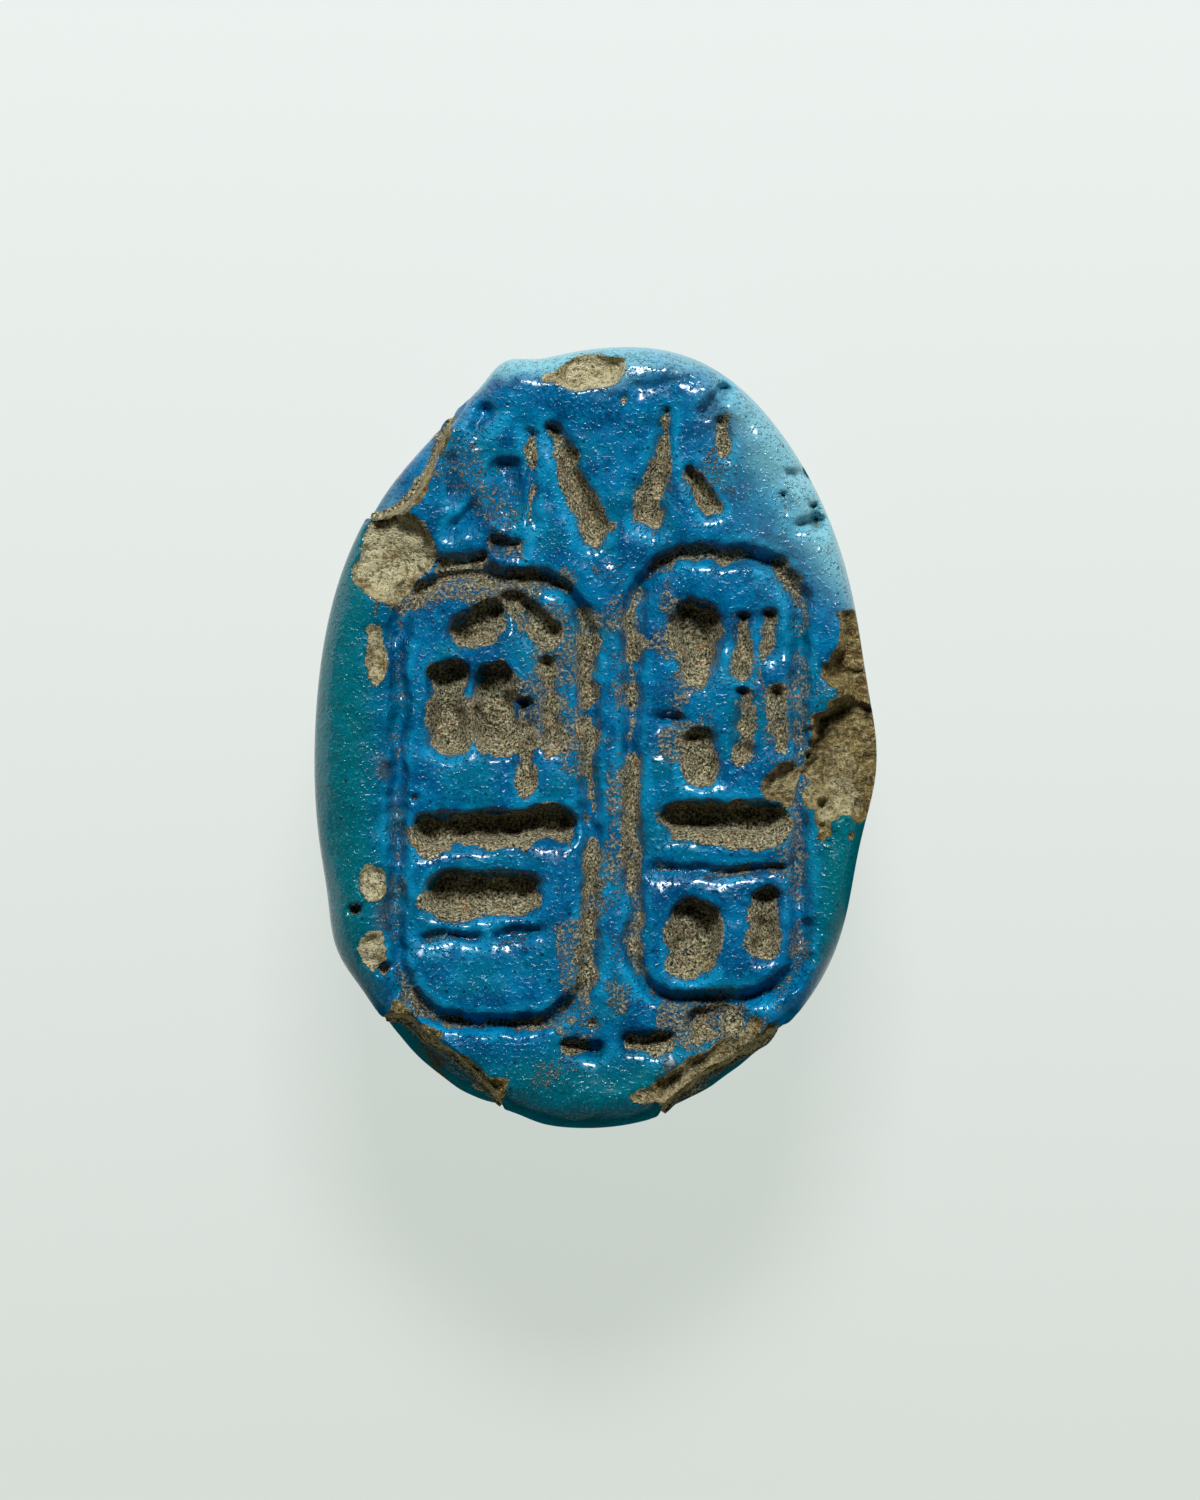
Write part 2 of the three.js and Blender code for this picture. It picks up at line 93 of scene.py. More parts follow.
def lumps(points, size, seed):
    """Unevenness from -1 to 1: random heights at the corners of cubes of the given size, blended between a
    cube's eight corners by soft steps. The last axis of points is x, y, z."""
    table = np.random.default_rng(seed).uniform(-1, 1, NOISE_TABLE)
    cell = points / size + seed
    low = np.floor(cell).astype(np.int64)
    share = soft_step(0, 1, cell - low)
    total = np.zeros(points.shape[:-1])
    for corner in itertools.product((0, 1), repeat=3):
        keys = (low + corner) * NOISE_PRIMES
        weight = np.where(corner, share, 1 - share).prod(axis=-1)
        total += weight * table[(keys[..., 0] ^ keys[..., 1] ^ keys[..., 2]) % NOISE_TABLE]
    return total


def rough(points, height, size, seed, layers):
    """Layers of lumps: height and size are the first one's, and halve from each layer to the next."""
    return height * sum(lumps(points, size / 2**layer, seed + layer) / 2**layer for layer in range(layers))


def soft_greatest(first, second, width):
    """The greater of two values, rounded off where they differ by less than width."""
    near = np.maximum(width - np.abs(first - second), 0) / width
    return np.maximum(first, second) + near * near * width / 4


# %% [markdown]
# ## The plan outline
# Seen from above, the amulet is a slightly turned oval with swells and hollows: a superellipse, whose radius
# in each direction is multiplied by one plus a few bell curves, then stretched to fill the box exactly.
# %% The plan outline
OVAL_POWER = 2.16
OVAL_TURN = -2.8
EDGE_SWELLS = [
    # direction in degrees, spread in degrees, share of the radius
    (355, 14, 0.05),
    (73, 15, 0.025),
    (103, 4, 0.036),
    (116, 22, -0.035),
    (219, 7, 0.029),
    (258, 4, -0.015),
    (319, 17, 0.043),
]
OUTLINE_STEPS = 1440


def outline_table():
    """Directions and radii of the outline, one for each step round it."""
    degrees = np.linspace(0, 360, OUTLINE_STEPS, endpoint=False)
    turned = np.radians(degrees - OVAL_TURN)
    across = np.abs(np.cos(turned) / HALF_WIDTH) ** OVAL_POWER
    along = np.abs(np.sin(turned) / HALF_LENGTH) ** OVAL_POWER
    radius = (across + along) ** (-1 / OVAL_POWER)
    swell = np.ones(OUTLINE_STEPS)
    for at, spread, share in EDGE_SWELLS:
        away = (degrees - at + 540) % 360 - 180
        swell += share * np.exp(-((away / spread) ** 2))
    points = np.stack([np.cos(np.radians(degrees)), np.sin(np.radians(degrees))], axis=1)
    points *= (radius * swell)[:, None]
    low, high = points.min(axis=0), points.max(axis=0)
    points = (points - (low + high) / 2) * np.array([WIDTH, LENGTH]) / (high - low)
    direction = np.arctan2(points[:, 1], points[:, 0])
    order = np.argsort(direction)
    return direction[order], np.hypot(points[:, 0], points[:, 1])[order]


OUTLINE = outline_table()


def outline_radius(direction):
    """The outline's distance from the middle in each direction."""
    return np.interp(direction, *OUTLINE, period=2 * np.pi)


print(f"outline: {outline_radius(np.pi / 2):.2f} mm to the head end, {outline_radius(0.0):.2f} to the right")

# %% [markdown]
# ## Where the rim has broken away
# At three places the thin rim of the plate snapped off, and the beetle's flank shows past the break. Each
# loss is a stroke with round ends. In every direction the plate ends where a ray from the middle meets one.
# %% Losses of the rim
RIM_LOSSES = [
    # from x, y, to x, y, the radius at each end: x and radii as shares of the half width, y of the half length
    (-0.65, 0.895, -0.8, 0.735, 0.195, 0.245),
    (-0.76, -0.83, -0.5, -0.98, 0.19, 0.19),
    (0.76, -0.885, 0.44, -1.03, 0.25, 0.24),
]
# Unevenness, here and below: height of the lumps, their size in millimetres, seed, layers
LOSS_EDGE = (0.09, 1.1, 31, 3)
RAY_START = 0.5
RAY_STEPS = 500
# Steps of the outline over which the end of a loss is evened out, on each side
BREAK_SOFTNESS = 3


def along_stroke(x, y, start, end):
    """The share of the way along a line where it is nearest to each point, and the steps from there."""
    run = np.array(end) - np.array(start)
    share = np.clip(((x - start[0]) * run[0] + (y - start[1]) * run[1]) / (run @ run), 0, 1)
    return share, x - start[0] - share * run[0], y - start[1] - share * run[1]


def stroke_distance(x, y, start, end, radii):
    """Distance outside a stroke with round ends: to its centre line, less a radius that changes along it."""
    share, off_x, off_y = along_stroke(x, y, start, end)
    return np.hypot(off_x, off_y) - blend(*radii, share)


def on_face(x, y):
    """A place on the face in millimetres, from shares of its half width and half length."""
    return x * HALF_WIDTH, y * HALF_LENGTH


def stroke_of(place, ax, ay, bx, by, first, last):
    """Start, end and radii of a stroke in millimetres, from a row of shares and the function of its places."""
    return place(ax, ay), place(bx, by), np.array([first, last]) * HALF_WIDTH


def loss_distance(x, y):
    """Distance outside the nearest loss of the rim, made ragged."""
    gaps = [stroke_distance(x, y, *stroke_of(on_face, *row)) for row in RIM_LOSSES]
    return np.minimum.reduce(gaps) + rough(np.stack([x, y, 0 * x], axis=-1), *LOSS_EDGE)


def plate_table():
    """The directions of the outline, and where a ray from the middle meets a loss or the edge in each."""
    direction, whole = OUTLINE
    reach = np.linspace(RAY_START, 1, RAY_STEPS)[:, None] * whole
    lost = loss_distance(reach * np.cos(direction), reach * np.sin(direction)) < 0
    first = np.where(lost.any(axis=0), lost.argmax(axis=0), RAY_STEPS - 1)
    found = np.take_along_axis(reach, first[None], axis=0)[0]
    joined = np.concatenate([found[-BREAK_SOFTNESS:], found, found[:BREAK_SOFTNESS]])
    width = 2 * BREAK_SOFTNESS + 1
    return direction, np.minimum(np.convolve(joined, np.ones(width) / width, "valid"), whole)


PLATE = plate_table()
print(f"losses: up to {np.max(OUTLINE[1] - PLATE[1]):.2f} mm of the rim is gone")

# %% [markdown]
# ## The grid
# The skin is three grids that share their edges: the face, a band round the side, and the back, half as
# fine. A square grid is bent onto the oval so that its squares stay about as large out to the rim.
# %% The grids of the face and of the back
FACE_ACROSS = 200
FACE_ALONG = 276
FLAT_RINGS = 0.84


def concentric(across, along):
    """Ring share 0 to 1 and direction for a grid of across x along squares bent onto the oval."""
    u, v = np.meshgrid(np.linspace(-1, 1, across + 1), np.linspace(-1, 1, along + 1), indexing="ij")
    wide = np.abs(u) > np.abs(v)
    ring = np.where(wide, u, v)
    safe = np.where(ring == 0, 1, ring)
    turn = np.where(wide, np.pi / 4 * v / safe, np.pi / 2 - np.pi / 4 * u / safe)
    x, y = HALF_WIDTH * ring * np.cos(turn), HALF_LENGTH * ring * np.sin(turn)
    return np.abs(ring), np.arctan2(y, x)


def border_of(across, along):
    """Numbers of a grid's border points, anticlockwise from its first corner."""
    number = np.arange((across + 1) * (along + 1)).reshape(across + 1, along + 1)
    return np.concatenate([number[:-1, 0], number[-1, :-1], number[:0:-1, -1], number[0, :0:-1]])


def squares_of(across, along):
    """Four point numbers for each square of a grid, anticlockwise."""
    number = np.arange((across + 1) * (along + 1)).reshape(across + 1, along + 1)
    corners = [number[:-1, :-1], number[1:, :-1], number[1:, 1:], number[:-1, 1:]]
    return np.stack([corner.ravel() for corner in corners], axis=1)


ring, heading = (part.ravel() for part in concentric(FACE_ACROSS, FACE_ALONG))
RIM = border_of(FACE_ACROSS, FACE_ALONG)
COLUMNS = len(RIM)
print(f"face grid: {len(ring)} points, {COLUMNS} columns round the rim")

# %% [markdown]
# ## The rim of the plate
# The edge of the seal rolls over softly, about 1.4 mm wide on the left and 0.5 mm on the right. Its rings are
# steps along a quarter of an oval arc. At a loss the roll is a short crumbled edge instead.
# %% The face without its carving
ROLL_MEAN = 0.95
ROLL_LEAN = 0.42
ROLL_DROP = 0.55 * PLATE_THICKNESS
# Rings inside follow the whole outline, and only the outer ones are pulled in to a break
RIM_PULL = 4
BROKEN_ROLL = 0.1
BROKEN_DROP = 0.3
# How much of the rim is gone where a break begins, and where it is a break in full
BREAK_RANGE = (0.02, 0.35)


def rim_of(direction):
    """Radius, share broken, roll width and drop of the plate's rim in each direction."""
    whole = outline_radius(direction)
    radius = np.interp(direction, *PLATE, period=2 * np.pi)
    broken = soft_step(*BREAK_RANGE, whole - radius)
    width = blend(ROLL_MEAN - ROLL_LEAN * np.cos(direction), BROKEN_ROLL, broken)
    drop = blend(ROLL_DROP, BROKEN_DROP, broken)
    return radius, broken, width, drop


radius, broken, roll, drop = rim_of(heading)
quarter = np.clip((ring - FLAT_RINGS) / (1 - FLAT_RINGS), 0, 1) * np.pi / 2
share_out = np.minimum(ring / FLAT_RINGS, 1)
even_reach = outline_radius(heading) - ROLL_MEAN
reach = even_reach * share_out + (radius - roll - even_reach) * share_out**RIM_PULL + roll * np.sin(quarter)
face_x = reach * np.cos(heading)
face_y = reach * np.sin(heading)
face_z = FACE_Z - drop * (1 - np.cos(quarter))
FROM_EDGE = outline_radius(heading) - reach
print(f"rim: {broken[RIM].mean():.0%} of its directions are broken away")

# %% [markdown]
# ## The carving
# Two upright rings with tall plumes are the frame of a usual design, and stay. What the real seal says inside
# them isn't copied: rows of plain dents take its place, which spell nothing. Each dent is a stroke with round
# ends.
# %% Tables of dents
SHALLOW = 0.17
MIDDLING = 0.27
DEEP = 0.4

# The two rings: box sides and corner radius, as shares of the face
LEFT_RING = ((-0.7, -0.725), (-0.022, 0.415), 0.235)
RIGHT_RING = ((0.133, -0.669), (0.724, 0.462), 0.19)
RING_GROOVE = 0.42
RING_DEPTH = 0.24
# How full of soil each ring's groove is on its left, right, bottom and top
LEFT_RING_SOIL = (0.42, 0.75, 0.62, 0.72)
RIGHT_RING_SOIL = (0.75, 0.5, 0.45, 0.66)

# Dents: from x, y, to x, y as shares of a box, radii as shares of the half width, depth as a share of the
# plate's thickness, and how full of soil it is
LEFT_DENTS = [
    (-0.29, 0.72, -0.02, 0.81, 0.058, 0.058, DEEP, 1.0),
    (0.23, 0.88, 0.55, 0.72, 0.052, 0.048, MIDDLING, 0.75),
    (0.58, 0.6, 0.58, 0.25, 0.03, 0.03, MIDDLING, 0.9),
    (-0.46, 0.52, -0.45, 0.28, 0.07, 0.075, DEEP, 1.0),
    (0.02, 0.5, 0.04, 0.29, 0.078, 0.088, DEEP, 1.0),
    (0.31, 0.42, 0.31, 0.07, 0.03, 0.03, MIDDLING, 0.9),
    (-0.64, -0.15, 0.69, -0.12, 0.066, 0.066, DEEP, 1.1),
    (-0.48, -0.445, 0.3, -0.43, 0.076, 0.07, DEEP, 1.1),
    (-0.68, -0.62, -0.2, -0.63, 0.02, 0.022, SHALLOW, 0.45),
    (0.02, -0.625, 0.46, -0.6, 0.022, 0.016, SHALLOW, 0.4),
]
RIGHT_DENTS = [
    (-0.25, 0.67, -0.2, 0.51, 0.088, 0.068, DEEP, 0.95),
    (0.31, 0.71, 0.31, 0.46, 0.025, 0.025, MIDDLING, 0.85),
    (0.65, 0.72, 0.65, 0.58, 0.025, 0.025, MIDDLING, 0.75),
    (-0.62, 0.25, -0.46, 0.26, 0.028, 0.028, SHALLOW, 0.5),
    (-0.2, 0.14, -0.19, 0.03, 0.058, 0.062, MIDDLING, 0.8),
    (0.31, 0.36, 0.33, 0.1, 0.026, 0.034, MIDDLING, 0.8),
    (0.76, 0.37, 0.76, 0.14, 0.026, 0.026, MIDDLING, 0.85),
    (-0.44, -0.21, 0.62, -0.2, 0.064, 0.064, DEEP, 1.1),
    (-0.74, -0.43, 0.8, -0.415, 0.02, 0.02, SHALLOW, 0.55),
    (-0.28, -0.66, -0.28, -0.82, 0.088, 0.078, DEEP, 1.0),
    (0.58, -0.56, 0.58, -0.77, 0.044, 0.044, DEEP, 0.95),
]
# Plumes above the rings and ties below them: the same, with places as shares of the face
CREST_AND_TIES = [
    (-0.313, 0.665, -0.313, 0.57, 0.06, 0.072, SHALLOW, 0.35),
    (-0.232, 0.77, -0.23, 0.55, 0.02, 0.02, SHALLOW, 0.75),
    (-0.145, 0.785, -0.015, 0.525, 0.03, 0.05, MIDDLING, 0.95),
    (-0.545, 0.435, -0.41, 0.445, 0.034, 0.03, MIDDLING, 0.8),
    (-0.36, 0.48, -0.28, 0.482, 0.028, 0.028, MIDDLING, 0.6),
    (0.255, 0.835, 0.19, 0.56, 0.016, 0.052, MIDDLING, 0.95),
    (0.34, 0.66, 0.41, 0.575, 0.032, 0.032, MIDDLING, 0.75),
    (0.448, 0.79, 0.445, 0.73, 0.026, 0.026, SHALLOW, 0.9),
    (0.458, 0.888, 0.385, 0.822, 0.02, 0.016, DEEP, 0.35),
    (0.16, 0.895, 0.33, 0.905, 0.018, 0.016, 0.06, 0.1),
    (-0.02, -0.53, -0.034, -0.655, 0.034, 0.034, SHALLOW, 0.8),
    (-0.105, -0.798, -0.002, -0.796, 0.026, 0.026, MIDDLING, 0.75),
    (0.128, -0.788, 0.245, -0.778, 0.034, 0.034, MIDDLING, 0.95),
    (0.39, -0.74, 0.46, -0.73, 0.076, 0.076, MIDDLING, 0.8),
    (0.735, 0.543, 0.785, 0.55, 0.016, 0.036, DEEP, 0.5),
    (0.785, 0.555, 0.775, 0.59, 0.036, 0.014, DEEP, 0.5),
    (0.662, 0.612, 0.676, 0.582, 0.01, 0.014, MIDDLING, 0.6),
    (0.69, 0.664, 0.76, 0.668, 0.012, 0.024, MIDDLING, 0.2),
    (-0.39, 0.82, -0.42, 0.79, 0.04, 0.03, SHALLOW, 0.1),
    (-0.52, 0.7, -0.5, 0.62, 0.03, 0.04, SHALLOW, 0.25),
    (-0.43, 0.57, -0.5, 0.53, 0.03, 0.03, SHALLOW, 0.2),
]
# Thin smears of soil between the dents: from x, y, to x, y, radius as shares of the face, how full
SMEARS = [
    (0.08, 0.43, 0.08, -0.69, 0.055, 0.5),
    (-0.04, 0.3, -0.06, -0.1, 0.05, 0.5),
    (-0.14, 0.3, -0.2, 0.05, 0.12, 0.5),
    (-0.6, 0.37, -0.15, 0.39, 0.06, 0.55),
    (-0.1, -0.52, -0.05, -0.75, 0.1, 0.5),
    (0.28, 0.34, 0.3, 0.0, 0.08, 0.52),
    (0.5, 0.3, 0.52, 0.05, 0.05, 0.46),
    (0.3, -0.72, 0.6, -0.76, 0.12, 0.55),
    (-0.2, -0.84, 0.25, -0.86, 0.05, 0.42),
    (0.62, 0.1, 0.68, -0.4, 0.04, 0.45),
    (-0.5, 0.72, -0.35, 0.6, 0.1, 0.42),
    (0.35, 0.6, 0.42, 0.72, 0.06, 0.42),
]
# Small pits of the clay: x, y as shares of the face, radius and depth in millimetres
PITS = [
    (-0.01, -0.73, 0.12, 0.2),
    (-0.75, -0.59, 0.16, 0.4),
    (-0.85, -0.44, 0.13, 0.45),
    (-0.64, -0.155, 0.09, 0.2),
    (-0.33, 0.385, 0.06, 0.12),
    (0.1, 0.86, 0.1, 0.12),
    (0.71, 0.9, 0.08, 0.1),
]

# %% [markdown]
# ## The shape of a dent
# A dent's upper wall is steep and its lower wall slants, so each point needs its distance outside every dent
# and its side of the centre line. A ring's groove holds more soil on some sides than on others.
# %% How dents are measured
# How soft the change from a dent's upper to its lower half is, as a share of its radius
LINE_SOFTNESS = 0.6


def in_box(ring_box, x, y):
    """A place in millimetres, from shares -1 to 1 of a ring's box."""
    (left, bottom), (right, top), _ = ring_box
    return on_face(blend(left, right, (x + 1) / 2), blend(bottom, top, (y + 1) / 2))


def ring_distance(x, y, ring_box):
    """Distance to the line of a box with round corners."""
    (left, bottom), (right, top), corner = ring_box
    (left, bottom), (right, top) = on_face(left, bottom), on_face(right, top)
    corner = corner * HALF_WIDTH
    past_x = np.abs(x - (left + right) / 2) - (right - left) / 2 + corner
    past_y = np.abs(y - (bottom + top) / 2) - (top - bottom) / 2 + corner
    outside = np.hypot(np.maximum(past_x, 0), np.maximum(past_y, 0))
    return np.abs(outside + np.minimum(np.maximum(past_x, past_y), 0) - corner)


def below_line(x, y, start, end, radii):
    """0 above a stroke's centre line, 1 below it, soft between."""
    share, _, off_y = along_stroke(x, y, start, end)
    return soft_step(LINE_SOFTNESS, -LINE_SOFTNESS, off_y / blend(*radii, share))


def dents_of(x, y):
    """Distance, depth, soil and side (0 above, 1 below) of every dent and groove at each point."""
    groups = [
        (on_face, CREST_AND_TIES),
        (lambda a, b: in_box(LEFT_RING, a, b), LEFT_DENTS),
        (lambda a, b: in_box(RIGHT_RING, a, b), RIGHT_DENTS),
    ]
    found = []
    for place, rows in groups:
        for *row, depth, soil in rows:
            stroke = stroke_of(place, *row)
            found.append((stroke_distance(x, y, *stroke), depth, soil, below_line(x, y, *stroke)))
    for ring_box, sides in ((LEFT_RING, LEFT_RING_SOIL), (RIGHT_RING, RIGHT_RING_SOIL)):
        (left, bottom), (right, top), _ = ring_box
        west, east, south, north = sides
        across = (x / HALF_WIDTH - left) / (right - left)
        up = (y / HALF_LENGTH - bottom) / (top - bottom)
        filled = blend(west, east, soft_step(0.2, 0.8, across))
        filled = blend(filled, south, soft_step(0.14, 0.04, up))
        filled = blend(filled, north, soft_step(0.86, 0.96, up))
        found.append((ring_distance(x, y, ring_box) - RING_GROOVE / 2, RING_DEPTH, filled, 0))
    return found


print(f"dents: {len(LEFT_DENTS) + len(RIGHT_DENTS) + len(CREST_AND_TIES)}, pits: {len(PITS)}")

# %% [markdown]
# ## Cutting the dents
# The places wobble as a hand does. Depths are added as a high power, so that the greatest wins where dents
# meet. The glaze sags towards every hollow, which rounds the bars between, and is thin on the shoulders. Soil
# fills a hollow to an uneven line and thins out around it.
# %% Cutting the dents
STEEP_WALL = 0.18
SLANTED_WALL = 0.55
SHOULDER = 0.13
GREATEST_POWER = 4
SAG = 0.11
SAG_WIDTH = 0.34
SOIL_EDGE = 0.12
SOIL_HALO = 0.4
HALO_WIDTH = 0.22
SMEAR_EDGE = 0.3
THIN_AT = 0.12
THIN_WIDTH = 0.2
PIT_EDGE = 0.08
PIT_SOIL = 0.8
FAR = 9.0
# Unevenness: of the hand across and along, each broad and fine, of the depth, of the soil, of the thin glaze
WOBBLE_ACROSS = ((0.09, 0.9, 11, 2), (0.05, 0.3, 13, 2))
WOBBLE_ALONG = ((0.09, 0.9, 17, 2), (0.05, 0.3, 19, 2))
DEPTH_CHANGE = (0.2, 0.7, 29, 3)
SOIL_LINE = (0.2, 0.6, 23, 4)
THIN_PATCHES = (1, 0.9, 37, 3)

flat = np.stack([face_x, face_y, np.zeros_like(face_x)], axis=1)
wobbled_x = face_x + sum(rough(flat, *lump) for lump in WOBBLE_ACROSS)
wobbled_y = face_y + sum(rough(flat, *lump) for lump in WOBBLE_ALONG)
depth_change = 1 + rough(flat, *DEPTH_CHANGE)
soil_line = rough(flat, *SOIL_LINE)
carved = np.zeros_like(face_x)
nearest = np.full_like(face_x, FAR)
soil = np.zeros_like(face_x)
for gap, depth, filled, side in dents_of(wobbled_x, wobbled_y):
    wall = blend(STEEP_WALL, SLANTED_WALL, side)
    hollow = depth_change * depth * PLATE_THICKNESS * soft_step(SHOULDER, -wall, gap)
    carved += hollow**GREATEST_POWER
    nearest = np.minimum(nearest, gap)
    gap = gap + soil_line
    soil = np.maximum(soil, filled * soft_step(SOIL_EDGE, -SOIL_EDGE, gap))
    soil = np.maximum(soil, filled * SOIL_HALO * np.exp(-np.maximum(gap, 0) / HALO_WIDTH))
for *row, size, filled in SMEARS:
    gap = stroke_distance(face_x, face_y, *stroke_of(on_face, *row, size, size)) + 2 * soil_line
    soil = np.maximum(soil, filled * soft_step(SMEAR_EDGE, -SMEAR_EDGE, gap))
thin_glaze = np.exp(-(((nearest - THIN_AT) / THIN_WIDTH) ** 2))
thin_glaze *= soft_step(-0.5, 0.6, rough(flat, *THIN_PATCHES))
carved = carved ** (1 / GREATEST_POWER) + SAG * np.exp(-np.maximum(nearest, 0) / SAG_WIDTH)
for x, y, size, depth in PITS:
    gap = np.hypot(face_x - x * HALF_WIDTH, face_y - y * HALF_LENGTH) - size
    carved += depth * soft_step(PIT_EDGE, -PIT_EDGE, gap)
    soil = np.maximum(soil, PIT_SOIL * soft_step(PIT_EDGE / 2, -PIT_EDGE / 2, gap))
print(f"carving: deepest {carved.max():.2f} mm")

# %% [markdown]
# ## Chips
# A knock breaks the glassy skin off in a shell-shaped flake and bares the sandy core, with a crisp uneven
# edge and a rough floor. The distance to a turned oval gives the edge, and also paints the core.
# %% Cutting the chips
CHIPS = [
    # x, y as shares of the face, half sizes as shares of the half width, turn in degrees, depth as a share,
    # how light the core is
    (-0.01, 0.952, 0.15, 0.08, 0, 0.26, 1.0),
    (-0.725, 0.485, 0.15, 0.135, 10, 0.34, 0.85),
    (-0.785, 0.43, 0.11, 0.1, 0, 0.3, 0.6),
    (-0.665, 0.385, 0.06, 0.12, -15, 0.28, 0.5),
    (-0.77, 0.21, 0.04, 0.15, 5, 0.13, 0.6),
    (0.94, -0.045, 0.24, 0.31, 0, 0.5, 0.2),
    (0.97, 0.17, 0.11, 0.27, 4, 0.42, 0.15),
    (0.76, -0.115, 0.17, 0.11, 12, 0.24, 0.35),
    (0.87, -0.17, 0.09, 0.08, 20, 0.46, 0.6),
    (-0.795, -0.37, 0.055, 0.06, 10, 0.12, 0.8),
    (-0.8, -0.548, 0.05, 0.065, 0, 0.16, 0.8),
    (-0.66, -0.72, 0.12, 0.06, -35, 0.2, 0.25),
    (-0.36, -0.903, 0.1, 0.07, 20, 0.2, 0.15),
    (0.37, -0.845, 0.24, 0.055, 36, 0.22, 0.4),
]
CHIP_EDGE = 0.05
CHIP_WALL = 0.3
# How ragged the smallest chips are beside one a millimetre wide or more
SMALL_RAGGEDNESS = 0.45
BROKEN_STRIP = 0.19
STRIP_DEPTH = 0.25
# The carving stops at the very rim: shares of the way in where it begins and where it is in full
RIM_FADE = (-0.001, 0.029)
# A chip bares the core only where it goes as deep as the carving: difference in millimetres
BARE_RANGE = (-0.06, 0.02)
CHIP_EDGE_LUMPS = (0.3, 0.9, 41, 5)
CHIP_FLOOR_LUMPS = (0.16, 0.5, 47, 4)
STRIP_LUMPS = (0.12, 0.5, 53, 3)
SOIL_GAPS = (1, 0.6, 59, 4)
GAP_STRENGTH = 0.3


def chip_distance(x, y, chip, ragged):
    """Distance outside a turned oval, made uneven: its share past the line times the smaller half size."""
    cx, cy, half_x, half_y, turn, *_ = chip
    along, up = x - cx * HALF_WIDTH, y - cy * HALF_LENGTH
    cosine, sine = math.cos(math.radians(turn)), math.sin(math.radians(turn))
    half_x, half_y = half_x * HALF_WIDTH, half_y * HALF_WIDTH
    share = np.hypot((along * cosine + up * sine) / half_x, (up * cosine - along * sine) / half_y)
    size = min(half_x, half_y, 1)
    return (share - 1) * size + blend(SMALL_RAGGEDNESS, 1, size) * ragged


ragged = rough(flat, *CHIP_EDGE_LUMPS)
floor_change = 1 + rough(flat, *CHIP_FLOOR_LUMPS)
bare, light_core, chipped = (np.zeros_like(face_x) for _ in range(3))
for chip in CHIPS:
    *_, depth, lightness = chip
    gap = chip_distance(face_x, face_y, chip, ragged)
    inside = soft_step(CHIP_EDGE, -CHIP_EDGE, gap)
    floor_depth = depth * PLATE_THICKNESS * floor_change
    chipped = np.maximum(chipped, floor_depth * soft_step(CHIP_EDGE, -CHIP_WALL, gap))
    bare = np.maximum(bare, inside)
    light_core = np.maximum(light_core, lightness * inside)
strip = loss_distance(face_x, face_y) + rough(flat, *STRIP_LUMPS)
bare = np.maximum(bare, soft_step(BROKEN_STRIP, BROKEN_STRIP / 2, strip))
chipped = np.maximum(chipped, STRIP_DEPTH * soft_step(BROKEN_STRIP, 0, strip))
whole_z = face_z - carved * soft_step(*RIM_FADE, 1 - ring)
bare *= soft_step(*BARE_RANGE, whole_z - FACE_Z + chipped)
soil *= (1 - bare) * (1 - GAP_STRENGTH * soft_step(0.3, 0.8, rough(flat, *SOIL_GAPS)))
print(f"chips: {bare.mean():.1%} of the face is bare core")

# %% [markdown]
# ## The fired surface
# Wide lumps of a few hundredths of a millimetre tilt the glaze this way and that, so that its shine breaks
# up. Finer ones look like orange peel. The broken core is rougher, and so is soil.
# %% The face as a whole
BROAD_LUMPS = (0.06, 2.6, 61, 2)
CLAY_LUMPS = (0.05, 0.85, 63, 1)
PEEL = (0.028, 0.38, 67, 2)
CORE_GRAIN = (0.08, 0.3, 71, 2)
SOIL_GRAIN_SHARE = 0.7
EVEN_RIM = 0.4

uneven = sum(rough(flat, *lump) for lump in (BROAD_LUMPS, CLAY_LUMPS, PEEL))
uneven += (bare + SOIL_GRAIN_SHARE * soil) * rough(flat, *CORE_GRAIN)
uneven *= soft_step(0, EVEN_RIM, FROM_EDGE)
face_z = np.minimum(np.minimum(whole_z, FACE_Z - chipped) + uneven, FACE_Z)
FACE = np.stack([face_x, face_y, face_z], axis=1)
print(f"face: {face_z.min():.2f} to {face_z.max():.2f} mm up")

# %% [markdown]
# ## The back
# The beetle's back is a few shallow bowls: wing cases, thorax, head, brow and two eyes, each a quarter circle
# from its rim to a flat crown. The deepest bowl shows, with soft corners, creases between the shells, and a
# seam along the middle of the wing cases.
# %% Bowls of the back
FLAT_SHARE = 0.24
WAIST_INSET = 0.08
FLANK_INSET = 0.5
CHIN_INSET = 1.7
CHIN_SHARE = 0.25
# y of the crown, how far ahead and behind the outline's shape reaches, as shares of the half length, and
# depth as a share of the back
WING_CASES = (-0.02, 0.45, 1.0, 1.0)
THORAX = (0.42, 0.84, 0.05, 0.8)
KNOBS = [
    # x, y, half width, half length as shares, depth as a share of the back: head, brow and two eyes
    (0, 0.74, 0.44, 0.22, 0.54),
    (0, 0.9, 0.24, 0.085, 0.36),
    (0.4, 0.73, 0.12, 0.08, 0.36),
    (-0.4, 0.73, 0.12, 0.08, 0.36),
]
JOIN_WIDTH = 0.3
SEAM_WIDTH = 0.16
SEAM_DEPTH = 0.2
CREASE_WIDTH = 0.22
CREASE_DEPTH = 0.14
BACK_LUMPS = (0.045, 1.9, 73, 3)
# The rims of the bowls are looked for from the outline inwards, in steps down to a share of it
SEARCH_SHARE = 0.9
SEARCH_STEPS = 60
JUST_INSIDE = 1.001


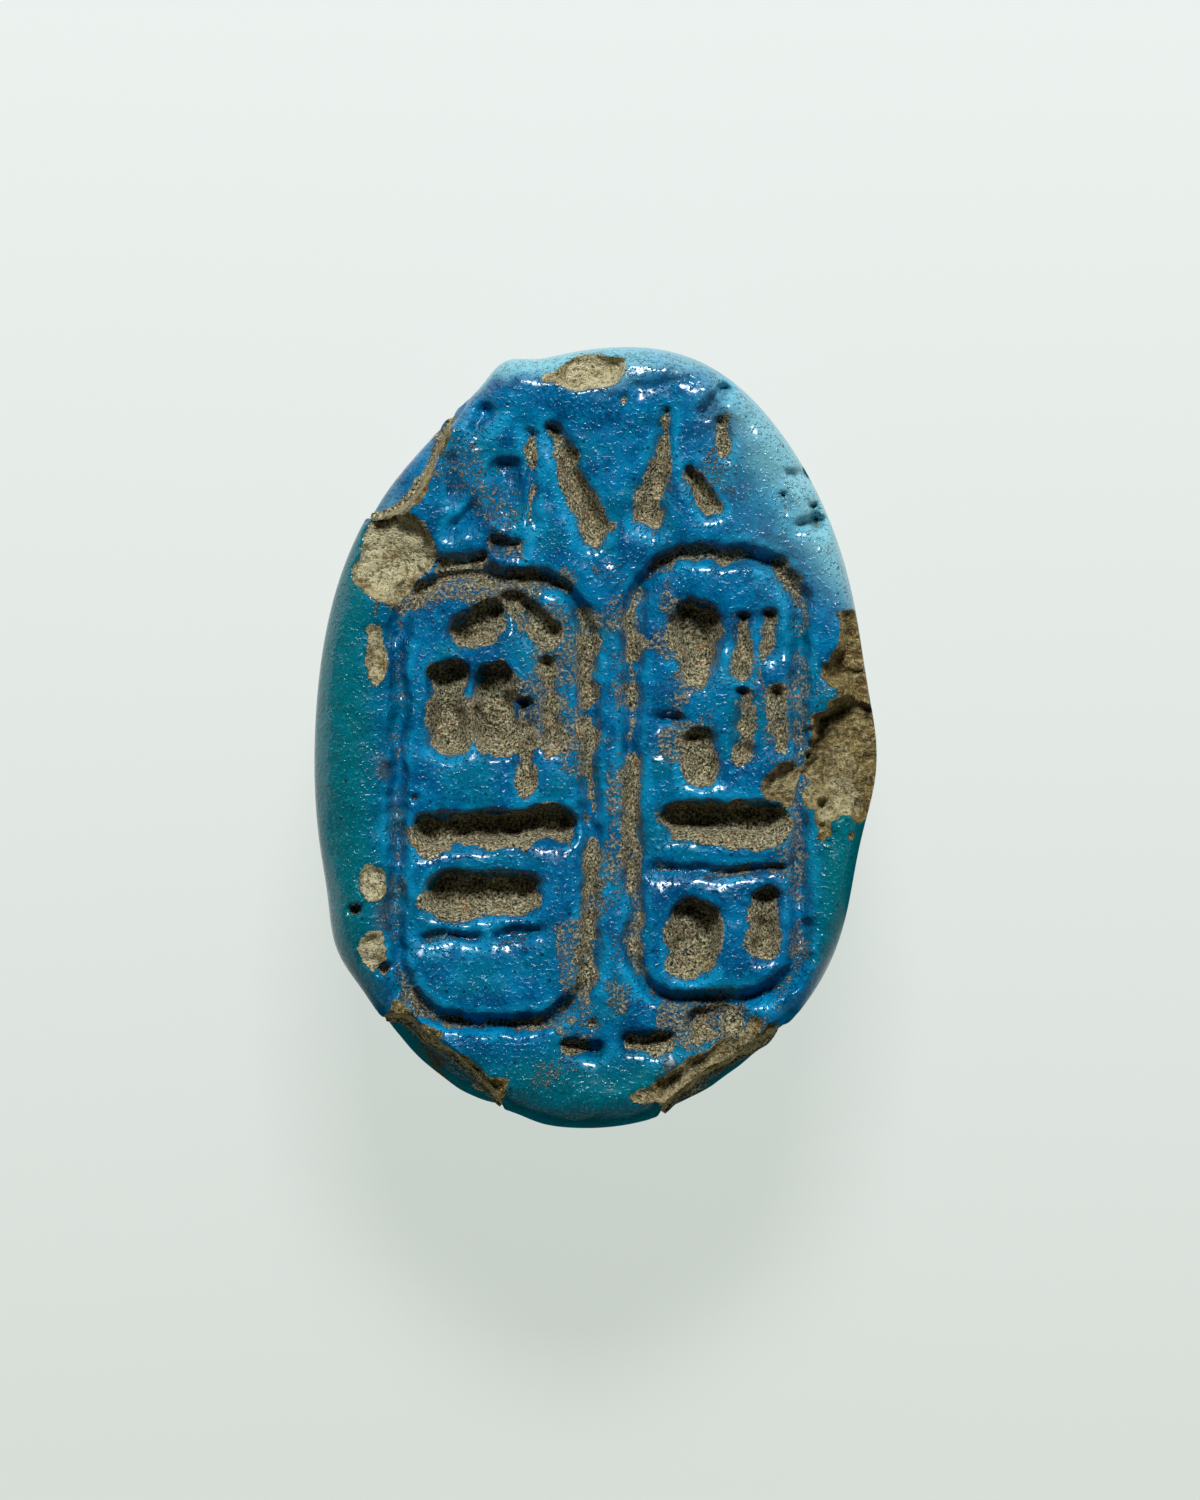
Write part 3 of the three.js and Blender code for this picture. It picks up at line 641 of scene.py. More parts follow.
def bowl_fall(share, depth):
    """How far a bowl hangs below the waist: depth times sqrt(1 - share^2), cut off flat at the crown."""
    arc = np.sqrt(np.clip(1 - share * share, 0, 1)) / math.sqrt(1 - FLAT_SHARE**2)
    return depth * BACK_DEPTH * np.minimum(arc, 1)


def shell_share(x, y, shell):
    """Distance from a shell's crown as a share of the way to its rim in that direction."""
    crown, ahead, behind, _ = shell
    rim = OUTLINE[1] - WAIST_INSET
    rim_x, rim_y = rim * np.cos(OUTLINE[0]), rim * np.sin(OUTLINE[0])
    rim_y = rim_y * np.where(rim_y > 0, ahead, behind) - crown * HALF_LENGTH
    y = y - crown * HALF_LENGTH
    angle = np.arctan2(rim_y, rim_x)
    order = np.argsort(angle)
    reach = np.interp(np.arctan2(y, x), angle[order], np.hypot(rim_x, rim_y)[order], period=2 * np.pi)
    return np.hypot(x, y) / reach


def knob_share(x, y, knob):
    """Distance from a knob's middle as a share of the way to its oval rim."""
    cx, cy, half_x, half_y, _ = knob
    return np.hypot((x / HALF_WIDTH - cx) / half_x, (y / HALF_LENGTH - cy) / half_y)


def back_fall(x, y):
    """How far the back hangs below the waist level at each point, with its seam and creases."""
    inset = outline_radius(np.arctan2(y, x)) - np.hypot(x, y)
    fall = CHIN_SHARE * BACK_DEPTH * np.clip((inset - FLANK_INSET) / (CHIN_INSET - FLANK_INSET), 0, 1)
    wings = bowl_fall(shell_share(x, y, WING_CASES), WING_CASES[-1])
    thorax = bowl_fall(shell_share(x, y, THORAX), THORAX[-1])
    for knob in KNOBS:
        fall = soft_greatest(fall, bowl_fall(knob_share(x, y, knob), knob[-1]), JOIN_WIDTH)
    crease = np.exp(-(((thorax - fall) / CREASE_WIDTH) ** 2)) * soft_step(0.3, 1, thorax)
    fall = soft_greatest(fall, thorax, JOIN_WIDTH)
    crease *= soft_step(0.2, -0.1, wings - fall)
    crease += np.exp(-(((wings - fall) / CREASE_WIDTH) ** 2)) * soft_step(0.3, 1, wings)
    on_wings = soft_step(-0.1, 0.25, wings - fall)
    seam = np.exp(-((x / SEAM_WIDTH) ** 2)) * on_wings
    fall = soft_greatest(fall, wings, JOIN_WIDTH)
    cut = SEAM_DEPTH * seam + CREASE_DEPTH * np.minimum(crease, 1) * (1 - on_wings * seam)
    return np.maximum(fall - cut * soft_step(0, 0.6, fall), 0), np.minimum(seam + crease, 1)


def waist_radius(direction):
    """Where the back begins in each direction: the widest of the flank and of the bowls' rims."""
    whole = outline_radius(direction)
    widest = whole - FLANK_INSET
    steps = np.linspace(1, SEARCH_SHARE, SEARCH_STEPS)[:, None] * (whole - WAIST_INSET)
    x, y = steps * np.cos(direction), steps * np.sin(direction)
    shares = [shell_share(x, y, shell) for shell in (WING_CASES, THORAX)]
    for share in shares + [knob_share(x, y, knob) for knob in KNOBS]:
        inside = share <= JUST_INSIDE
        found = np.take_along_axis(steps, inside.argmax(axis=0)[None], axis=0)[0]
        widest = np.maximum(widest, np.where(inside.any(axis=0), found, 0))
    return widest


BACK_ACROSS = FACE_ACROSS // 2
BACK_ALONG = FACE_ALONG // 2
back_ring, back_heading = (part.ravel() for part in concentric(BACK_ACROSS, BACK_ALONG))
back_reach = waist_radius(back_heading) * np.sin(back_ring * np.pi / 2)
back_x = back_reach * np.cos(back_heading)
back_y = back_reach * np.sin(back_heading)
fall, back_grooves = back_fall(back_x, back_y)
back_points = np.stack([back_x, back_y, WAIST_Z - fall], axis=1)
back_uneven = rough(back_points, *BACK_LUMPS) * soft_step(0, 0.6, fall)
back_points[:, 2] = np.maximum(back_points[:, 2] + back_uneven, 0)
BACK_RIM = border_of(BACK_ACROSS, BACK_ALONG)
print(f"back: {len(back_points)} points, lowest {back_points[:, 2].min():.2f} mm")

# %% [markdown]
# ## The side
# From the rim the side goes down past the plate's undercut edge, in to the flank where the legs lie, and out
# to the waist: one profile of insets and heights, carried round. At a loss another profile takes over, with a
# broken wall and a ledge. A leg is a rod that shows where it stands further out than the flank.
# %% Profile of the side
SIDE_ROWS = (5, 4, 3, 3, 4, 7, 5, 3, 3, 3)
FINE_ROWS = 7
LEG_RADIUS = 0.52
LEG_PROUD = 0.44
LEG_ROWS = (13, 13, 13)
LEG_SOFTNESS = 0.12
LEGS = [
    # along: shares of the half length from hip to foot; up: shares of the leg band's height
    ((0.34, 0.55, 0.72, 0.88), (0.1, 0.42, 0.6, 0.5)),
    ((0.28, 0.08, -0.12, -0.3), (0.1, 0.4, 0.66, 0.75)),
    ((-0.16, -0.4, -0.62, -0.84), (0.1, 0.36, 0.56, 0.45)),
]


def side_stations(direction):
    """Insets and heights of the eleven stations of the side's profile, from the rim down to the waist."""
    radius, broken, _, drop = rim_of(direction)
    lost = outline_radius(direction) - radius
    waist = outline_radius(direction) - waist_radius(direction)
    whole_inset = [0, 0.02, 0.12, 0.3, 0.5, 0.52, 0.5, 0.46, waist + 0.07, waist, waist]
    whole_z = [0, 0.4, 0.74, 0.94, 1.03, 1.45, 2.2, 2.5, 2.57, 2.8, 3.045]
    whole_z = [FACE_Z - ROLL_DROP - fallen for fallen in whole_z]
    ledge = np.minimum(lost - 0.3, 0.85)
    broken_inset = [lost, lost - 0.05, lost - 0.1, lost - 0.2, lost - 0.35, ledge]
    broken_inset += [0.26, 0.05, 0.03, blend(0.12, waist, 0.4), waist]
    broken_z = [FACE_Z - drop, 8.0, 7.4, 6.98, 6.86, 6.72, 6.4, 5.9, 5.5, 5.2, WAIST_Z]
    insets = [blend(first, second, broken) for first, second in zip(whole_inset, broken_inset)]
    heights = [blend(first, second, broken) for first, second in zip(whole_z, broken_z)]
    heights[0] = FACE_Z - drop
    return np.stack(insets), np.stack(np.broadcast_arrays(*heights))


def along_curve(knots, rows):
    """Points along a smooth curve through knots (a Catmull-Rom spline), with so many rows after each knot."""
    padded = np.concatenate([2 * knots[:1] - knots[1:2], knots, 2 * knots[-1:] - knots[-2:-1]])
    found = [knots[0]]
    for place, count in enumerate(rows):
        before, start, end, after = padded[place:place + 4]
        for step in range(1, count + 1):
            t = step / count
            slope = end - before + (2 * before - 5 * start + 4 * end - after) * t
            slope = slope + (3 * start - before - 3 * end + after) * t * t
            found.append(start + 0.5 * t * slope)
    return np.stack(found)


def leg_reach(direction, height):
    """How far out the legs' rods stand at each direction and height, or 0 away from them."""
    radius = outline_radius(direction)
    along = radius * np.sin(direction) / HALF_LENGTH
    reach = np.zeros(np.broadcast(direction, height).shape)
    for places, ups in LEGS:
        knots = np.array([places, ups]).T
        path = along_curve(knots, LEG_ROWS)
        gap = np.full_like(reach, FAR)
        for (start, up), (end, next_up) in zip(path[:-1], path[1:]):
            first = (start * HALF_LENGTH, WAIST_Z + up * LEG_BAND_HEIGHT)
            second = (end * HALF_LENGTH, WAIST_Z + next_up * LEG_BAND_HEIGHT)
            gap = np.minimum(gap, stroke_distance(along * HALF_LENGTH, height, first, second, (0, 0)))
        rod = np.sqrt(np.maximum(LEG_RADIUS**2 - gap**2, 0))
        reach = np.maximum(reach, (radius - FLANK_INSET - LEG_RADIUS + LEG_PROUD + rod) * (gap < LEG_RADIUS))
    return reach


# %% [markdown]
# ## The side's surface
# The walls of the breaks crumble, and the rest is a little wavy. Both fade out over three rows at either end,
# where the band meets the face and the back.
# %% The side
CRUMBLE = (0.16, 0.7, 83, 4)
WAVES = (0.035, 1.4, 89, 3)
FADE_ROWS = 3

directions = heading[RIM]
insets, heights = (along_curve(knots, SIDE_ROWS) for knots in side_stations(directions))
side_radius = outline_radius(directions) - insets
in_band = soft_step(0, 0.15, heights - WAIST_Z) * soft_step(0, 0.1, PLATE_Z + 0.05 - heights)
with_legs = soft_greatest(side_radius, leg_reach(directions, heights), LEG_SOFTNESS)
side_radius = blend(side_radius, with_legs, in_band)
outwards = np.stack([np.cos(directions), np.sin(directions)], axis=-1)
side = np.concatenate([side_radius[..., None] * outwards, heights[..., None]], axis=-1)
shift = broken[RIM] * soft_step(PLATE_Z - 0.2, PLATE_Z + 0.3, heights) * rough(side, *CRUMBLE)
shift -= np.abs(rough(side, *WAVES))
rows = np.arange(len(heights))[:, None]
shift *= soft_step(0, FADE_ROWS, rows) * soft_step(0, FADE_ROWS, len(heights) - 1 - rows)
side[..., :2] += shift[..., None] * outwards
side[0] = FACE[RIM]
print(f"side: {len(heights)} rows of {COLUMNS} columns")

# %% [markdown]
# ## One closed skin
# The points are the face, the fine rows of the side, its coarse rows, and the back. Faces list point numbers,
# anticlockwise from outside. Between the fine and the coarse rows each takes three points above, two below.
# %% Join the three grids
LAST_ROW = len(heights) - 1


def band(upper, lower):
    """Squares between two rows of point numbers that run round the amulet."""
    return np.stack([lower, np.roll(lower, -1), np.roll(upper, -1), upper], axis=1)


fine_count = len(FACE)
fine_rows = [RIM] + [fine_count + row * COLUMNS + np.arange(COLUMNS) for row in range(FINE_ROWS)]
coarse_start = fine_count + FINE_ROWS * COLUMNS
half_columns = COLUMNS // 2
coarse_total = LAST_ROW - FINE_ROWS - 1
coarse_rows = [coarse_start + row * half_columns + np.arange(half_columns) for row in range(coarse_total)]
back_start = coarse_start + coarse_total * half_columns
coarse_rows.append(back_start + BACK_RIM)

quads = [squares_of(FACE_ACROSS, FACE_ALONG)]
quads += [band(upper, lower) for upper, lower in zip(fine_rows[:-1], fine_rows[1:])]
quads += [band(upper, lower) for upper, lower in zip(coarse_rows[:-1], coarse_rows[1:])]
quads.append(squares_of(BACK_ACROSS, BACK_ALONG)[:, ::-1] + back_start)
quads = np.concatenate(quads)
above, below = fine_rows[-1], coarse_rows[0]
joints = np.stack([below, np.roll(below, -1), np.roll(above, -2)[::2], above[1::2], above[::2]], axis=1)
coarse_side = side[FINE_ROWS + 1:LAST_ROW, ::2].reshape(-1, 3)
points = np.concatenate([FACE, side[1:FINE_ROWS + 1].reshape(-1, 3), coarse_side, back_points])
print(f"skin: {len(points)} points, {2 * len(quads) + 3 * len(joints)} triangles")

# %% [markdown]
# ## What lies on the surface
# The material reads numbers from 0 to 1 at every point: where soil is, where the glaze is broken off and how
# light the core is there, and where the glaze is thin. Down the side, soil lies under the plate's edge and
# between the legs, and on the back it lies in the creases.
# %% Soil and bare core
WEAR_WOBBLE = (0.2, 0.5, 97, 3)
SOIL_PATCHES = (1, 0.9, 101, 3)
SIDE_SOIL = 0.7
LEDGE_SOIL = 0.8
BACK_SOIL = 0.6
SIDE_LIGHTNESS = 0.35


def wear_of(spots, lost):
    """Soil and bare core on the side: soil under the plate's edge and on the ledge close to a break."""
    x, y, z = np.moveaxis(spots, -1, 0)
    direction, away = np.arctan2(y, x), np.hypot(x, y)
    wobble = rough(spots, *WEAR_WOBBLE)
    past = away - np.interp(direction, *PLATE, period=2 * np.pi) + wobble
    between = soft_step(WAIST_Z + 0.05, WAIST_Z + 0.4, z) * soft_step(PLATE_Z + 0.3, PLATE_Z, z)
    between *= soft_step(0.3, 0.5, outline_radius(direction) - away)
    between *= soft_step(-0.7, 0.5, rough(spots, *SOIL_PATCHES))
    on_ledge = soft_step(0.55, 0.25, past) * soft_step(PLATE_Z + 0.5, PLATE_Z + 0.2, z)
    lost = soft_step(0.3, 0.7, lost + 1.5 * wobble)
    wall = lost * soft_step(PLATE_Z + 0.1, PLATE_Z + 0.4, z + 2 * wobble)
    return blend(SIDE_SOIL * between, LEDGE_SOIL * on_ledge, lost), wall


side_parts = [
    wear_of(side[1:FINE_ROWS + 1], broken[RIM]),
    wear_of(side[FINE_ROWS + 1:LAST_ROW, ::2], broken[RIM][::2]),
]
side_soil, side_bare = ([part.ravel() for part in parts] for parts in zip(*side_parts))
SOIL = np.concatenate([soil, *side_soil, BACK_SOIL * back_grooves])
BARE = np.concatenate([bare, *side_bare, 0 * back_grooves])
off_face = np.ones(len(points) - len(FACE))
THIN = np.concatenate([thin_glaze, 0 * off_face])
LIGHT = np.concatenate([light_core, SIDE_LIGHTNESS * off_face])
print(f"surface: {(SOIL > 0.5).mean():.1%} soil, {(BARE > 0.5).mean():.1%} bare core")

# %% [markdown]
# ## Tints of the glaze
# The glaze is green-blue down the left, at the lower right, at the foot and on the ledges of the breaks. It is
# pale where it is worn at the upper right, and pale along the top rim as a painted reflection of the light from
# the top, paler on the left. It is stained brown at the foot and in a line down the left, and darkened brown on
# the lower ledges, partly staining and partly painted shade under the plate. Each place is a few soft steps, in
# millimetres.
# %% Green-blue, pale and stained places
TOP_REFLECTION_LINE = (0.6, 1.3, 119, 4)
FOOT_PATCHES = (1, 0.9, 107, 4)
LEDGE_SHADE_AND_STAIN_PATCHES = (1, 0.8, 113, 4)
LINE_PATCHES = (1, 0.9, 109, 3)
LINE_X = -5.35
LINE_WIDTH = 0.4

x, y, z = points.T
teal = [
    soft_step(-4.6, -6.6, x),
    0.9 * soft_step(4.9, 6.3, x) * soft_step(3, 0, y),
    0.8 * soft_step(-7.2, -9.2, y),
    soft_step(-5.5, -7.0, y) * soft_step(7.3, 6.8, z),
]
TEAL = np.maximum.reduce(teal) * soft_step(9.5, 7.5, y)
# The pale along the top rim is a painted reflection of the light from the top, paler on the left.
top_rim_reflection = soft_step(8.2, 9.5, y + rough(points, *TOP_REFLECTION_LINE)) * blend(1.0, 0.68, soft_step(-2, 2, x))
outward = np.hypot(x / HALF_WIDTH, y / HALF_LENGTH)
upper_right = 0.3 * soft_step(0.55, 0.8, outward) + 0.7 * soft_step(0.83, 0.98, outward)
upper_right *= soft_step(1.5, 5, x) * soft_step(2.0, 5.0, y)
PALE_AND_REFLECTION = np.maximum(top_rim_reflection, upper_right) * soft_step(4.0, 6.5, z)
on_foot = soft_step(-7.2, -8.6, y) * soft_step(0.35, 0.75, rough(points, *FOOT_PATCHES))
# The brown on the lower ledges is partly staining and partly painted shade of the plate above them.
shade_and_stain_on_ledges = soft_step(-6.5, -8.0, y) * soft_step(7.2, 6.6, z)
shade_and_stain_on_ledges *= soft_step(0.1, 0.6, rough(points, *LEDGE_SHADE_AND_STAIN_PATCHES))
in_line = np.exp(-(((x - LINE_X) / LINE_WIDTH) ** 2)) * soft_step(0, 0.7, rough(points, *LINE_PATCHES))
STAIN_AND_SHADE = np.maximum.reduce([0.75 * on_foot, 0.9 * shade_and_stain_on_ledges, 0.6 * in_line])
STAIN_AND_SHADE *= soft_step(WAIST_Z, WAIST_Z + 0.6, z)
print(f"tints: {(TEAL > 0.5).mean():.1%} green-blue, {(PALE_AND_REFLECTION > 0.5).mean():.1%} pale")

# %% [markdown]
# ## The mesh
# The points and faces become one mesh, and the numbers above become its attributes.
# %% Make the mesh
def mesh_of(name, points, faces):
    """A mesh of points in millimetres and faces that list their numbers."""
    mesh = bpy.data.meshes.new(name)
    mesh.from_pydata((np.array(points) * METRE).tolist(), [], faces)
    return mesh


def put(name, data):
    """An object made of a mesh, a lamp or a camera, in the scene."""
    made = bpy.data.objects.new(name, data)
    bpy.context.collection.objects.link(made)
    return made


def store(mesh, name, values):
    """Keep one number for each point of a mesh under a name that the material can read."""
    attribute = mesh.attributes.new(name, "FLOAT", "POINT")
    attribute.data.foreach_set("value", np.asarray(values, dtype=np.float32))


skin = mesh_of("scarab skin", points, quads.tolist() + joints.tolist())
SURFACE = {"soil": SOIL, "bare": BARE, "light": LIGHT, "thin": THIN, "teal": TEAL, "pale": PALE_AND_REFLECTION}
SURFACE["stain"] = STAIN_AND_SHADE
for name, values in SURFACE.items():
    store(skin, name, values)
skin.update()
whole_scarab = put("whole_scarab", skin)
print(f"mesh: {len(skin.polygons)} faces, attributes {list(SURFACE)}")

# %% [markdown]
# ## The bore
# The string hole was pierced through the wet paste with a straw or a wire, from under the head to the tail.
# A plain rod is taken away from the skin, and the rod's own surface lines the hole.
# %% Pierce the bore
BORE_DIAMETER = 1.7
BORE_Z = 5.43
BORE_SIDES = 64
BORE_ROWS = 60
ROD_LENGTH = 1.3 * LENGTH


def rod_mesh():
    """A closed rod along Y: rings of points at even steps, joined by squares, with one face at each end."""
    angle = np.linspace(0, 2 * np.pi, BORE_SIDES, endpoint=False)
    rows = np.linspace(-ROD_LENGTH / 2, ROD_LENGTH / 2, BORE_ROWS)
    y, angle = np.meshgrid(rows, angle, indexing="ij")
    radius = BORE_DIAMETER / 2
    rod_points = np.stack([radius * np.cos(angle), y, BORE_Z + radius * np.sin(angle)], axis=-1)
    number = np.arange(BORE_ROWS * BORE_SIDES).reshape(BORE_ROWS, BORE_SIDES)
    rod_faces = np.concatenate([band(upper, lower) for upper, lower in zip(number[:-1], number[1:])])
    ends = [number[0].tolist(), number[-1, ::-1].tolist()]
    mesh = mesh_of("bore", rod_points.reshape(-1, 3), rod_faces.tolist() + ends)
    for name in SURFACE:
        store(mesh, name, np.zeros(len(mesh.vertices)))
    return mesh


rod = put("bore_rod", rod_mesh())
cut = whole_scarab.modifiers.new("bore", "BOOLEAN")
cut.operation = "DIFFERENCE"
cut.solver = "MANIFOLD"
cut.object = rod
bpy.context.view_layer.update()
evaluated = whole_scarab.evaluated_get(bpy.context.evaluated_depsgraph_get())
pierced = bpy.data.meshes.new_from_object(evaluated)
pierced.name = "glazed scarab"
bpy.data.objects.remove(whole_scarab)
bpy.data.objects.remove(rod)
scarab = put("glazed_scarab", pierced)
pierced.shade_smooth()
print(f"pierced: {len(pierced.vertices)} points")

# %% [markdown]
# ## What lies on the pierced surface
# The lining of the hole is every point at the rod's radius, and gets soil and nothing else. Two attributes
# depend on which way the surface faces: the glaze is frostier on slopes towards the head, and the steep
# sides at the foot and at the lower right are weathered dull.
# %% Lining, frosted and weathered places
LINING_MARGIN = 0.01
LINING_SOIL = 0.95
LEAST_FROST = 0.42


def read(data, field, width):
    """As many rows of numbers as width, with a column for each element."""
    values = np.empty(len(data) * width, dtype=np.float32)
    data.foreach_get(field, values)
    return values.reshape(-1, width).T


x, y, z = read(pierced.vertices, "co", 3) / METRE
lining = np.hypot(x, z - BORE_Z) < BORE_DIAMETER / 2 + LINING_MARGIN
for name in SURFACE:
    column = pierced.attributes[name].data
    values = read(column, "value", 1)[0]
    values[lining] = LINING_SOIL if name == "soil" else 0
    column.foreach_set("value", values)
_, to_head, to_sky = read(pierced.vertices, "normal", 3)
frosty = blend(LEAST_FROST, 1, soft_step(0.04, 0.35, to_head)) * soft_step(0.2, 0.5, to_sky)
store(pierced, "frosty", frosty)
low_right = soft_step(5.2, 6.4, x) * soft_step(3, 0, y)
store(pierced, "weathered", soft_step(0.9, 0.6, to_sky) * np.maximum(soft_step(-4.5, -7, y), low_right))
pierced.calc_loop_triangles()
print(f"lining: {lining.sum()} points; whole skin: {len(pierced.loop_triangles)} triangles")

# %% [markdown]
# ## Colours and nodes
# Colours are written as the eye sees them, and turned into amounts of light by one function. Another adds a
# node with its settings and links, so that a material reads as a list of steps.
# %% Colours and nodes
def light_of(colour):
    """Linear red, green, blue and a full alpha for sRGB hex: c / 12.92, or ((c + 0.055) / 1.055) ^ 2.4."""
    shares = np.array([int(colour[place:place + 2], 16) / 255 for place in (1, 3, 5)])
    linear = np.where(shares <= 0.04045, shares / 12.92, ((shares + 0.055) / 1.055) ** 2.4)
    return (*linear.tolist(), 1.0)


def add(tree, kind, output, sockets, **settings):
    """Add a node, set its properties, fill its sockets with values or other nodes' outputs, give one output."""
    made = tree.nodes.new("ShaderNode" + kind)
    for name, value in settings.items():
        setattr(made, name, value)
    for name, value in sockets.items():
        if isinstance(value, bpy.types.NodeSocket):
            tree.links.new(value, made.inputs[name])
        else:
            made.inputs[name].default_value = value
    return made.outputs[output] if made.outputs else None


def new_material(name):
    """A material with an empty node tree, and that tree."""
    material = bpy.data.materials.new(name)
    material.use_nodes = True
    material.node_tree.nodes.clear()
    return material, material.node_tree


# The settings that the materials below use over and over
COLOUR_MIX = {"data_type": "RGBA"}
SOFT = {"interpolation_type": "SMOOTHSTEP"}

# %% [markdown]
# ## Glazed faience
# Copper-blue alkaline glaze over crushed quartz, fired at about 900 degrees. The glaze is a thin glass (IOR
# 1.5), deep blue and mottled, with the green-blue, pale and stained places laid over it: the pale along the top
# rim is a painted reflection, and the brown on the lower ledges is partly painted shade. Soil is pale tan
# grains on a dark ground. The bare core is sandy, light brown and dull.
# %% Material: patterns
glaze_material, tree = new_material("glazed faience with soil and bare quartz core")
local = add(tree, "TexCoord", "Object", {})
place = add(tree, "Mapping", 0, {"Vector": local, "Scale": (1000, 1000, 1000)})

# Each pattern: name, lumps per millimetre, layers of detail, roughness of the layers. The real frost and grains
# are some hundredths of a millimetre, too fine for the picture, so they are drawn about 0.1 mm wide.
PATTERNS = [
    ("mottle", 0.9, 4, 0.6),
    ("cloud", 4.0, 4, 0.65),
    ("fleck", 16.0, 2, 0.6),
    ("drift", 0.6, 2, 0.5),
    ("grain", 14.0, 2, 0.8),
    ("patches", 1.8, 4, 0.65),
    ("sand", 9.0, 3, 0.75),
    ("edge", 11.0, 3, 0.7),
    ("pebble", 4.5, 2, 0.5),
    ("spark", 9.0, 1, 0.5),
]
PINHOLES_PER_MM = 2.0
pattern = {}
for name, per_mm, layers, falloff in PATTERNS:
    sockets = {"Vector": place, "Scale": per_mm, "Detail": layers, "Roughness": falloff}
    pattern[name] = add(tree, "TexNoise", "Fac", sockets)
kept = {}
for name in [*SURFACE, "frosty", "weathered"]:
    kept[name] = add(tree, "Attribute", "Fac", {}, attribute_name=name)
pinhole = add(tree, "TexVoronoi", "Distance", {"Vector": place, "Scale": PINHOLES_PER_MM})
print(f"patterns: {len(pattern)}, attributes read: {len(kept)}")

# %% [markdown]
# ## Colours of the glaze, the soil and the core
# Each is a ground colour with tints laid over it, one after the other, as a pattern or an attribute says.
# %% Material: colours
# Each tint: pattern or attribute, where it starts, where it is full, strength, colour
GLAZE_TINTS = [
    (pattern["mottle"], 0.36, 0.66, 1.0, "#0074a8"),
    (pattern["drift"], 0.5, 0.66, 0.55, "#007890"),
    (pattern["cloud"], 0.5, 0.72, 0.6, "#0690bc"),
    (kept["thin"], 0.1, 0.9, 0.6, "#0c9ccc"),
    (kept["teal"], 0.0, 1.0, 0.85, "#006a6c"),
    # Pale: worn glaze at the upper right, and a painted reflection along the top rim
    (kept["pale"], 0.0, 1.0, 0.85, "#84c4d0"),
    # Brown: real staining at the foot and down the left, and partly painted shade on the lower ledges
    (kept["stain"], 0.0, 1.0, 0.85, "#4a3c14"),
    (pattern["fleck"], 0.56, 0.7, 0.4, "#18a4cc"),
    (pattern["fleck"], 0.42, 0.3, 0.6, "#003454"),
    (pinhole, 0.12, 0.06, 0.8, "#0a2830"),
]
SOIL_TINTS = [
    (pattern["grain"], 0.4, 0.52, 1.0, "#aba67e"),
    (pattern["cloud"], 0.52, 0.68, 0.6, "#b07a48"),
    (pattern["grain"], 0.53, 0.63, 0.95, "#f4e8c4"),
    (kept["soil"], 0.66, 0.48, 0.55, "#c4c6b2"),
]
CORE_TINTS = [
    (pattern["patches"], 0.4, 0.62, 0.8, "#a48a40"),
    (pattern["patches"], 0.52, 0.36, 0.6, "#6e5c2c"),
    (kept["light"], 0.0, 1.0, 0.95, "#f6efc4"),
    (pattern["patches"], 0.52, 0.38, 0.75, "#8c723a"),
    (pattern["sand"], 0.49, 0.39, 0.75, "#5c4e28"),
    (pattern["sand"], 0.52, 0.62, 0.6, "#e8dca8"),
]
ground = {}
for name, base, tints in (
    ("glaze", "#004c7c", GLAZE_TINTS),
    ("soil", "#211e17", SOIL_TINTS),
    ("core", "#6c5c2a", CORE_TINTS),
):
    ground[name] = light_of(base)
    for value, low, high, strength, tint in tints:
        sockets = {"Value": value, "From Min": low, "From Max": high, "To Max": strength}
        share = add(tree, "MapRange", 0, sockets, **SOFT)
        ground[name] = add(tree, "Mix", 2, {0: share, 6: ground[name], 7: light_of(tint)}, **COLOUR_MIX)

# %% [markdown]
# ## Where soil and core lie, their gloss and their relief
# The edge of the soil breaks up into grains, and the edge of a chip is crisper. The glaze shines, but not
# where it is stained, darkened as painted shade on the lower ledges, or weathered. The relief is too fine for
# the
# mesh: pebbled glaze with small sparks, which are stronger and in clusters where the glaze is frosty, and
# crumbly soil and core.
# %% Material: edges, gloss and relief
SOIL_BREAKUP = 1.3
CHIP_BREAKUP = 0.9
DULL_RANGE = {"From Min": 0.42, "From Max": 0.6}
GLASS_IOR = 1.5
GLAZE_ROUGHNESS = 0.2
STAINED_ROUGHNESS = 0.45
DULL_ROUGHNESS = 0.93
GLAZE_SPECULAR = 0.5

dull = {}
centred = add(tree, "Math", 0, {0: pattern["edge"], 1: 0.5}, operation="SUBTRACT")
for name, breakup in (("soil", SOIL_BREAKUP), ("bare", CHIP_BREAKUP)):
    ragged_edge = add(tree, "Math", 0, {0: centred, 1: breakup, 2: kept[name]}, operation="MULTIPLY_ADD")
    dull[name] = add(tree, "MapRange", 0, {"Value": ragged_edge} | DULL_RANGE, **SOFT)
colour = add(tree, "Mix", 2, {0: dull["soil"], 6: ground["glaze"], 7: ground["soil"]}, **COLOUR_MIX)
colour = add(tree, "Mix", 2, {0: dull["bare"], 6: colour, 7: ground["core"]}, **COLOUR_MIX)
dull_share = add(tree, "Math", 0, {0: dull["soil"], 1: dull["bare"]}, operation="MAXIMUM")

